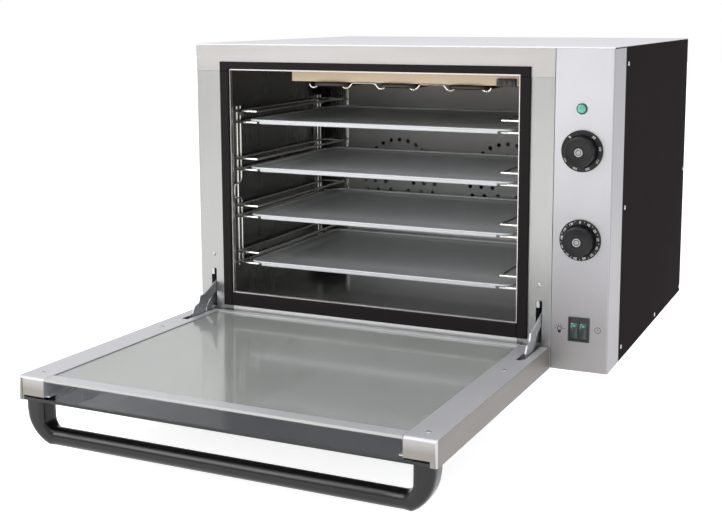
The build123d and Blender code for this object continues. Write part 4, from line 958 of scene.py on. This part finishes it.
def makeTray(number):
    # the rim and rings further in and lower, bridged and thickened, then a rolled bead and a lip
    name = "tray_" + str(number)
    low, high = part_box(name)
    level, corner = low[2] + baking["level"], baking["corner"]
    bead, wall = baking["bead"] / 2, baking["wall"]
    shape = bmesh.new()
    rings = [addRoundedLoop(shape, (low[0] + bead, low[1] + bead), (high[0] - bead, high[1] - bead),
                            level + baking["flange"], corner - bead)]
    for inward, lift, share in wall:
        side, end = baking["sides"] + inward, baking["ends"] + inward
        rings.append(addRoundedLoop(shape, (low[0] + side, low[1] + end), (high[0] - side, high[1] - end),
                                    level + lift, corner * share, len(rings) == len(wall)))
    for outer, inner in zip(rings, rings[1:]):
        bmesh.ops.bridge_loops(shape, edges=outer + inner)
    bmesh.ops.recalc_face_normals(shape, faces=shape.faces)
    bmesh.ops.solidify(shape, geom=list(shape.faces), thickness=baking["sheet"])
    left, right, front, back = low[0] + bead, high[0] - bead, low[1] + bead, high[1] - bead
    z = level + baking["beadMiddle"]
    around = [(left, front, z), (right, front, z), (right, back, z), (left, back, z)]
    addWires(shape, [around], baking["bead"], corner - bead, sides=3, closed=True)
    lipLeft, lipRight, drop = baking["lip"]
    near, far = baking["lipDepth"]
    roundBlock(shape, (lipLeft, low[1] + near, level + drop), (lipRight, low[1] + far, z),
               baking["lipEdge"], segments=3)
    makePiece("bakingTray" + str(number), shape, "trayMetal", name, [name], sharp=40)


for trayNumber in range(1, baking["count"] + 1):
    makeTray(trayNumber)
print("trays made")


panHead = {
    "profile": [(1.0, 0.0), (1.0, 0.25), (0.93, 0.55), (0.72, 0.85), (0.46, 0.98), (0.20, 1.0),
                (0.0, 1.0)],
    "steps": 16,
    "recess": 0.55,
    "crossMiddle": 0.14,  # shares of the radius that the cross takes in
    "crossReach": 0.4,
    "armTurn": 23,  # degrees to each side of an arm's middle
}


def addPanHead(shape, place, radius, height):
    # a domed head with a cross recess
    profile = [(r * radius, h * height) for r, h in panHead["profile"]]
    made = addSpun(shape, profile, Matrix(), panHead["steps"])
    arms = []
    for face in {face for vert in made for face in vert.link_faces}:
        middle = face.calc_center_median()
        away = math.hypot(middle.x, middle.z) / radius
        turn = math.degrees(math.atan2(middle.z, middle.x)) % 90
        beside = min(turn, 90 - turn)
        onArm = away < panHead["crossReach"] and beside < panHead["armTurn"]
        if away < panHead["crossMiddle"] or onArm:
            arms.append(face)
    sunk = bmesh.ops.extrude_face_region(shape, geom=arms)["geom"]
    moved = [item for item in sunk if isinstance(item, bmesh.types.BMVert)]
    bmesh.ops.translate(shape, vec=(0, height * panHead["recess"], 0), verts=moved)
    bmesh.ops.delete(shape, geom=arms, context="FACES")
    bmesh.ops.transform(shape, matrix=place, verts=list(set(made + moved) & set(shape.verts)))


def makeScrews(partName, name, body):
    # a head over each fastener of the part, facing out of the side it stands on
    shape = bmesh.new()
    for box in islands(partName):
        spans = [high - low for low, high in box]
        middle = [(low + high) / 2 for low, high in box]
        axis = spans.index(min(spans))
        high = middle[axis] > 0 and axis != 1
        outward = Vector([(1 if high else -1) if index == axis else 0 for index in range(3)])
        middle[axis] = box[axis][0] if high else box[axis][1]
        turn = Vector((0, -1, 0)).rotation_difference(outward).to_matrix().to_4x4()
        radius = max(spans) / 2
        addPanHead(shape, Matrix.Translation(middle) @ turn, radius, spans[axis])
    makePiece(name, shape, "screwSteel", body, [partName], sharp=30)


trim = {
    "foldSide": (0.0002, 0.0075),  # from the baffle's left edge
    "foldFront": (-0.0009, 0.0001),  # from its front
    "foldEnds": 0.0015,
    "foldEdge": 0.0003,
    "seam": ((-0.4093, -0.9036, 0.0125), (-0.4085, -0.9030, 0.0475)),
    "seamEdge": 0.0001,
}


def makeTrim():
    # the folded edge of the baffle, painted bright as the highlight it catches, and the seam beside the
    # rounded corner of the left rail
    low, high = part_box("fan_baffle")
    left, right = (low[0] + inward for inward in trim["foldSide"])
    front, back = (low[1] + behind for behind in trim["foldFront"])
    fold = bmesh.new()
    roundBlock(fold, (left, front, low[2] + trim["foldEnds"]), (right, back, high[2] - trim["foldEnds"]),
               trim["foldEdge"])
    makePiece("baffleFoldHighlight", fold, "wireSteel", "case")
    seam = bmesh.new()
    roundBlock(seam, *trim["seam"], trim["seamEdge"])
    makePiece("railSeam", seam, "printBlack", "door")


makeTrim()
makeScrews("case_screws", "caseScrews", "case")
makeScrews("door_screws", "doorScrews", "door")
print("trim and screws made")


studio = {
    "floorHeight": -0.095,
    "floorSize": 30.0,
    "floorThick": 0.02,
    "floorColour": (0.82, 0.82, 0.82),
    "plinthInset": 0.03,
    "plinthGap": 0.0005,
    "floorGlow": 0.80,
    "cameraPlace": (0.87774, -2.35896, 0.63229),
    "yaw": 24.97,
    "pitch": 8.242,
    "roll": -0.215,
    "focalPixels": 1188.05,
    "frameWidth": 722,
    "shiftPixels": -80,
    "sensorWidth": 36.0,
    "clipEnd": 100,
    "worldLight": 0.62,
}
lamps = {  # place, target, width, height, power, and whether metal mirrors it
    "keySoftbox": ((-1.9, -3.2, 1.9), (0, -0.2, 0.25), 1.6, 1.6, 39, True),
    "topSoftbox": ((0.2, -0.6, 2.8), (0, -0.3, 0.3), 1.8, 1.8, 20, True),
    "stripLamp": ((-0.3, -2.5, 2.3), (0, -0.9, 0), 1.9, 0.12, 8, True),
    "frontSoftbox": ((-0.6, -3.0, 0.26), (0, 0, 0.20), 1.4, 0.5, 36, False),
}


def backdropWhite(name, colour, glow):
    # seen, mirrored or through glass it is near white and keeps the soft shadow
    finish = Finish(name)
    finish.set(Base_Color=colour, Roughness=0.9, Specular_IOR_Level=0.1)
    plain = Value(finish, finish.shader.outputs[0])
    light = finish.node("ShaderNodeEmission", None, {"Color": (1.0, 1.0, 1.0), "Strength": glow})
    bright = finish.node("ShaderNodeAddShader", None, {0: plain, 1: light})
    mixed = finish.node("ShaderNodeMixShader", None, {0: finish.seenRay(), 1: plain, 2: bright})
    finish.feed(finish.tree.nodes["Material Output"].inputs["Surface"], mixed)
    return finish


def stageBlock(name, low, high, finish):
    shape = bmesh.new()
    addBlock(shape, low, high)
    mesh = bpy.data.meshes.new(name)
    shape.to_mesh(mesh)
    shape.free()
    mesh.materials.append(finish.material)
    block = bpy.data.objects.new(name, mesh)
    bpy.context.collection.objects.link(block)


def areaLight(name, place, target, width, height, power, mirrored):
    data = bpy.data.lights.new(name, "AREA")
    data.shape = "RECTANGLE"
    data.size, data.size_y = width, height
    data.energy = power
    lampAndGlint = bpy.data.objects.new(name, data)
    lampAndGlint.location = place
    lampAndGlint.visible_glossy = mirrored
    lampAndGlint.rotation_euler = (Vector(target) - Vector(place)).to_track_quat("-Z", "Y").to_euler()
    bpy.context.collection.objects.link(lampAndGlint)


def makeCamera():
    yaw, pitch, roll = (math.radians(studio[key]) for key in ("yaw", "pitch", "roll"))
    ahead = math.cos(pitch)
    forward = Vector((-math.sin(yaw) * ahead, math.cos(yaw) * ahead, -math.sin(pitch)))
    level = Vector((math.cos(yaw), math.sin(yaw), 0))
    upright = level.cross(forward)
    right = math.cos(roll) * level + math.sin(roll) * upright
    up = -math.sin(roll) * level + math.cos(roll) * upright
    data = bpy.data.cameras.new("camera")
    data.sensor_width = studio["sensorWidth"]
    data.lens = studio["focalPixels"] / studio["frameWidth"] * data.sensor_width
    data.shift_y = studio["shiftPixels"] / studio["frameWidth"]
    data.clip_end = studio["clipEnd"]
    camera = bpy.data.objects.new("camera", data)
    turn = Matrix((right, up, -forward)).transposed().to_4x4()
    camera.matrix_world = Matrix.Translation(studio["cameraPlace"]) @ turn
    bpy.context.collection.objects.link(camera)
    bpy.context.scene.camera = camera


def makeWorld():
    world = bpy.data.worlds.new("studio")
    bpy.context.scene.world = world
    world.use_nodes = True
    network = Network(world.node_tree)
    background = world.node_tree.nodes["Background"]
    strength = network.seenRay() * (1.0 - studio["worldLight"]) + studio["worldLight"]
    network.feed(background.inputs["Color"], (1.0, 1.0, 1.0))
    network.feed(background.inputs["Strength"], strength)


def makeStage():
    # a wide floor, and a plinth under the case because the lowered door's handle hangs below it
    white = backdropWhite("floorWhite", studio["floorColour"], studio["floorGlow"])
    half, level, inset = studio["floorSize"] / 2, studio["floorHeight"], studio["plinthInset"]
    stageBlock("floor", (-half, -half, level - studio["floorThick"]), (half, half, level), white)
    panLow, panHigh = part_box("base_pan")
    stageBlock("plinth", (panLow[0] + inset, panLow[1] + inset, level),
               (panHigh[0] - inset, panHigh[1] - inset, panLow[2] - studio["plinthGap"]), white)


makeStage()
for lampName, settings in lamps.items():
    areaLight(lampName, *settings)
makeWorld()
makeCamera()
bpy.context.scene.view_settings.view_transform = "Standard"
print("studio ready")
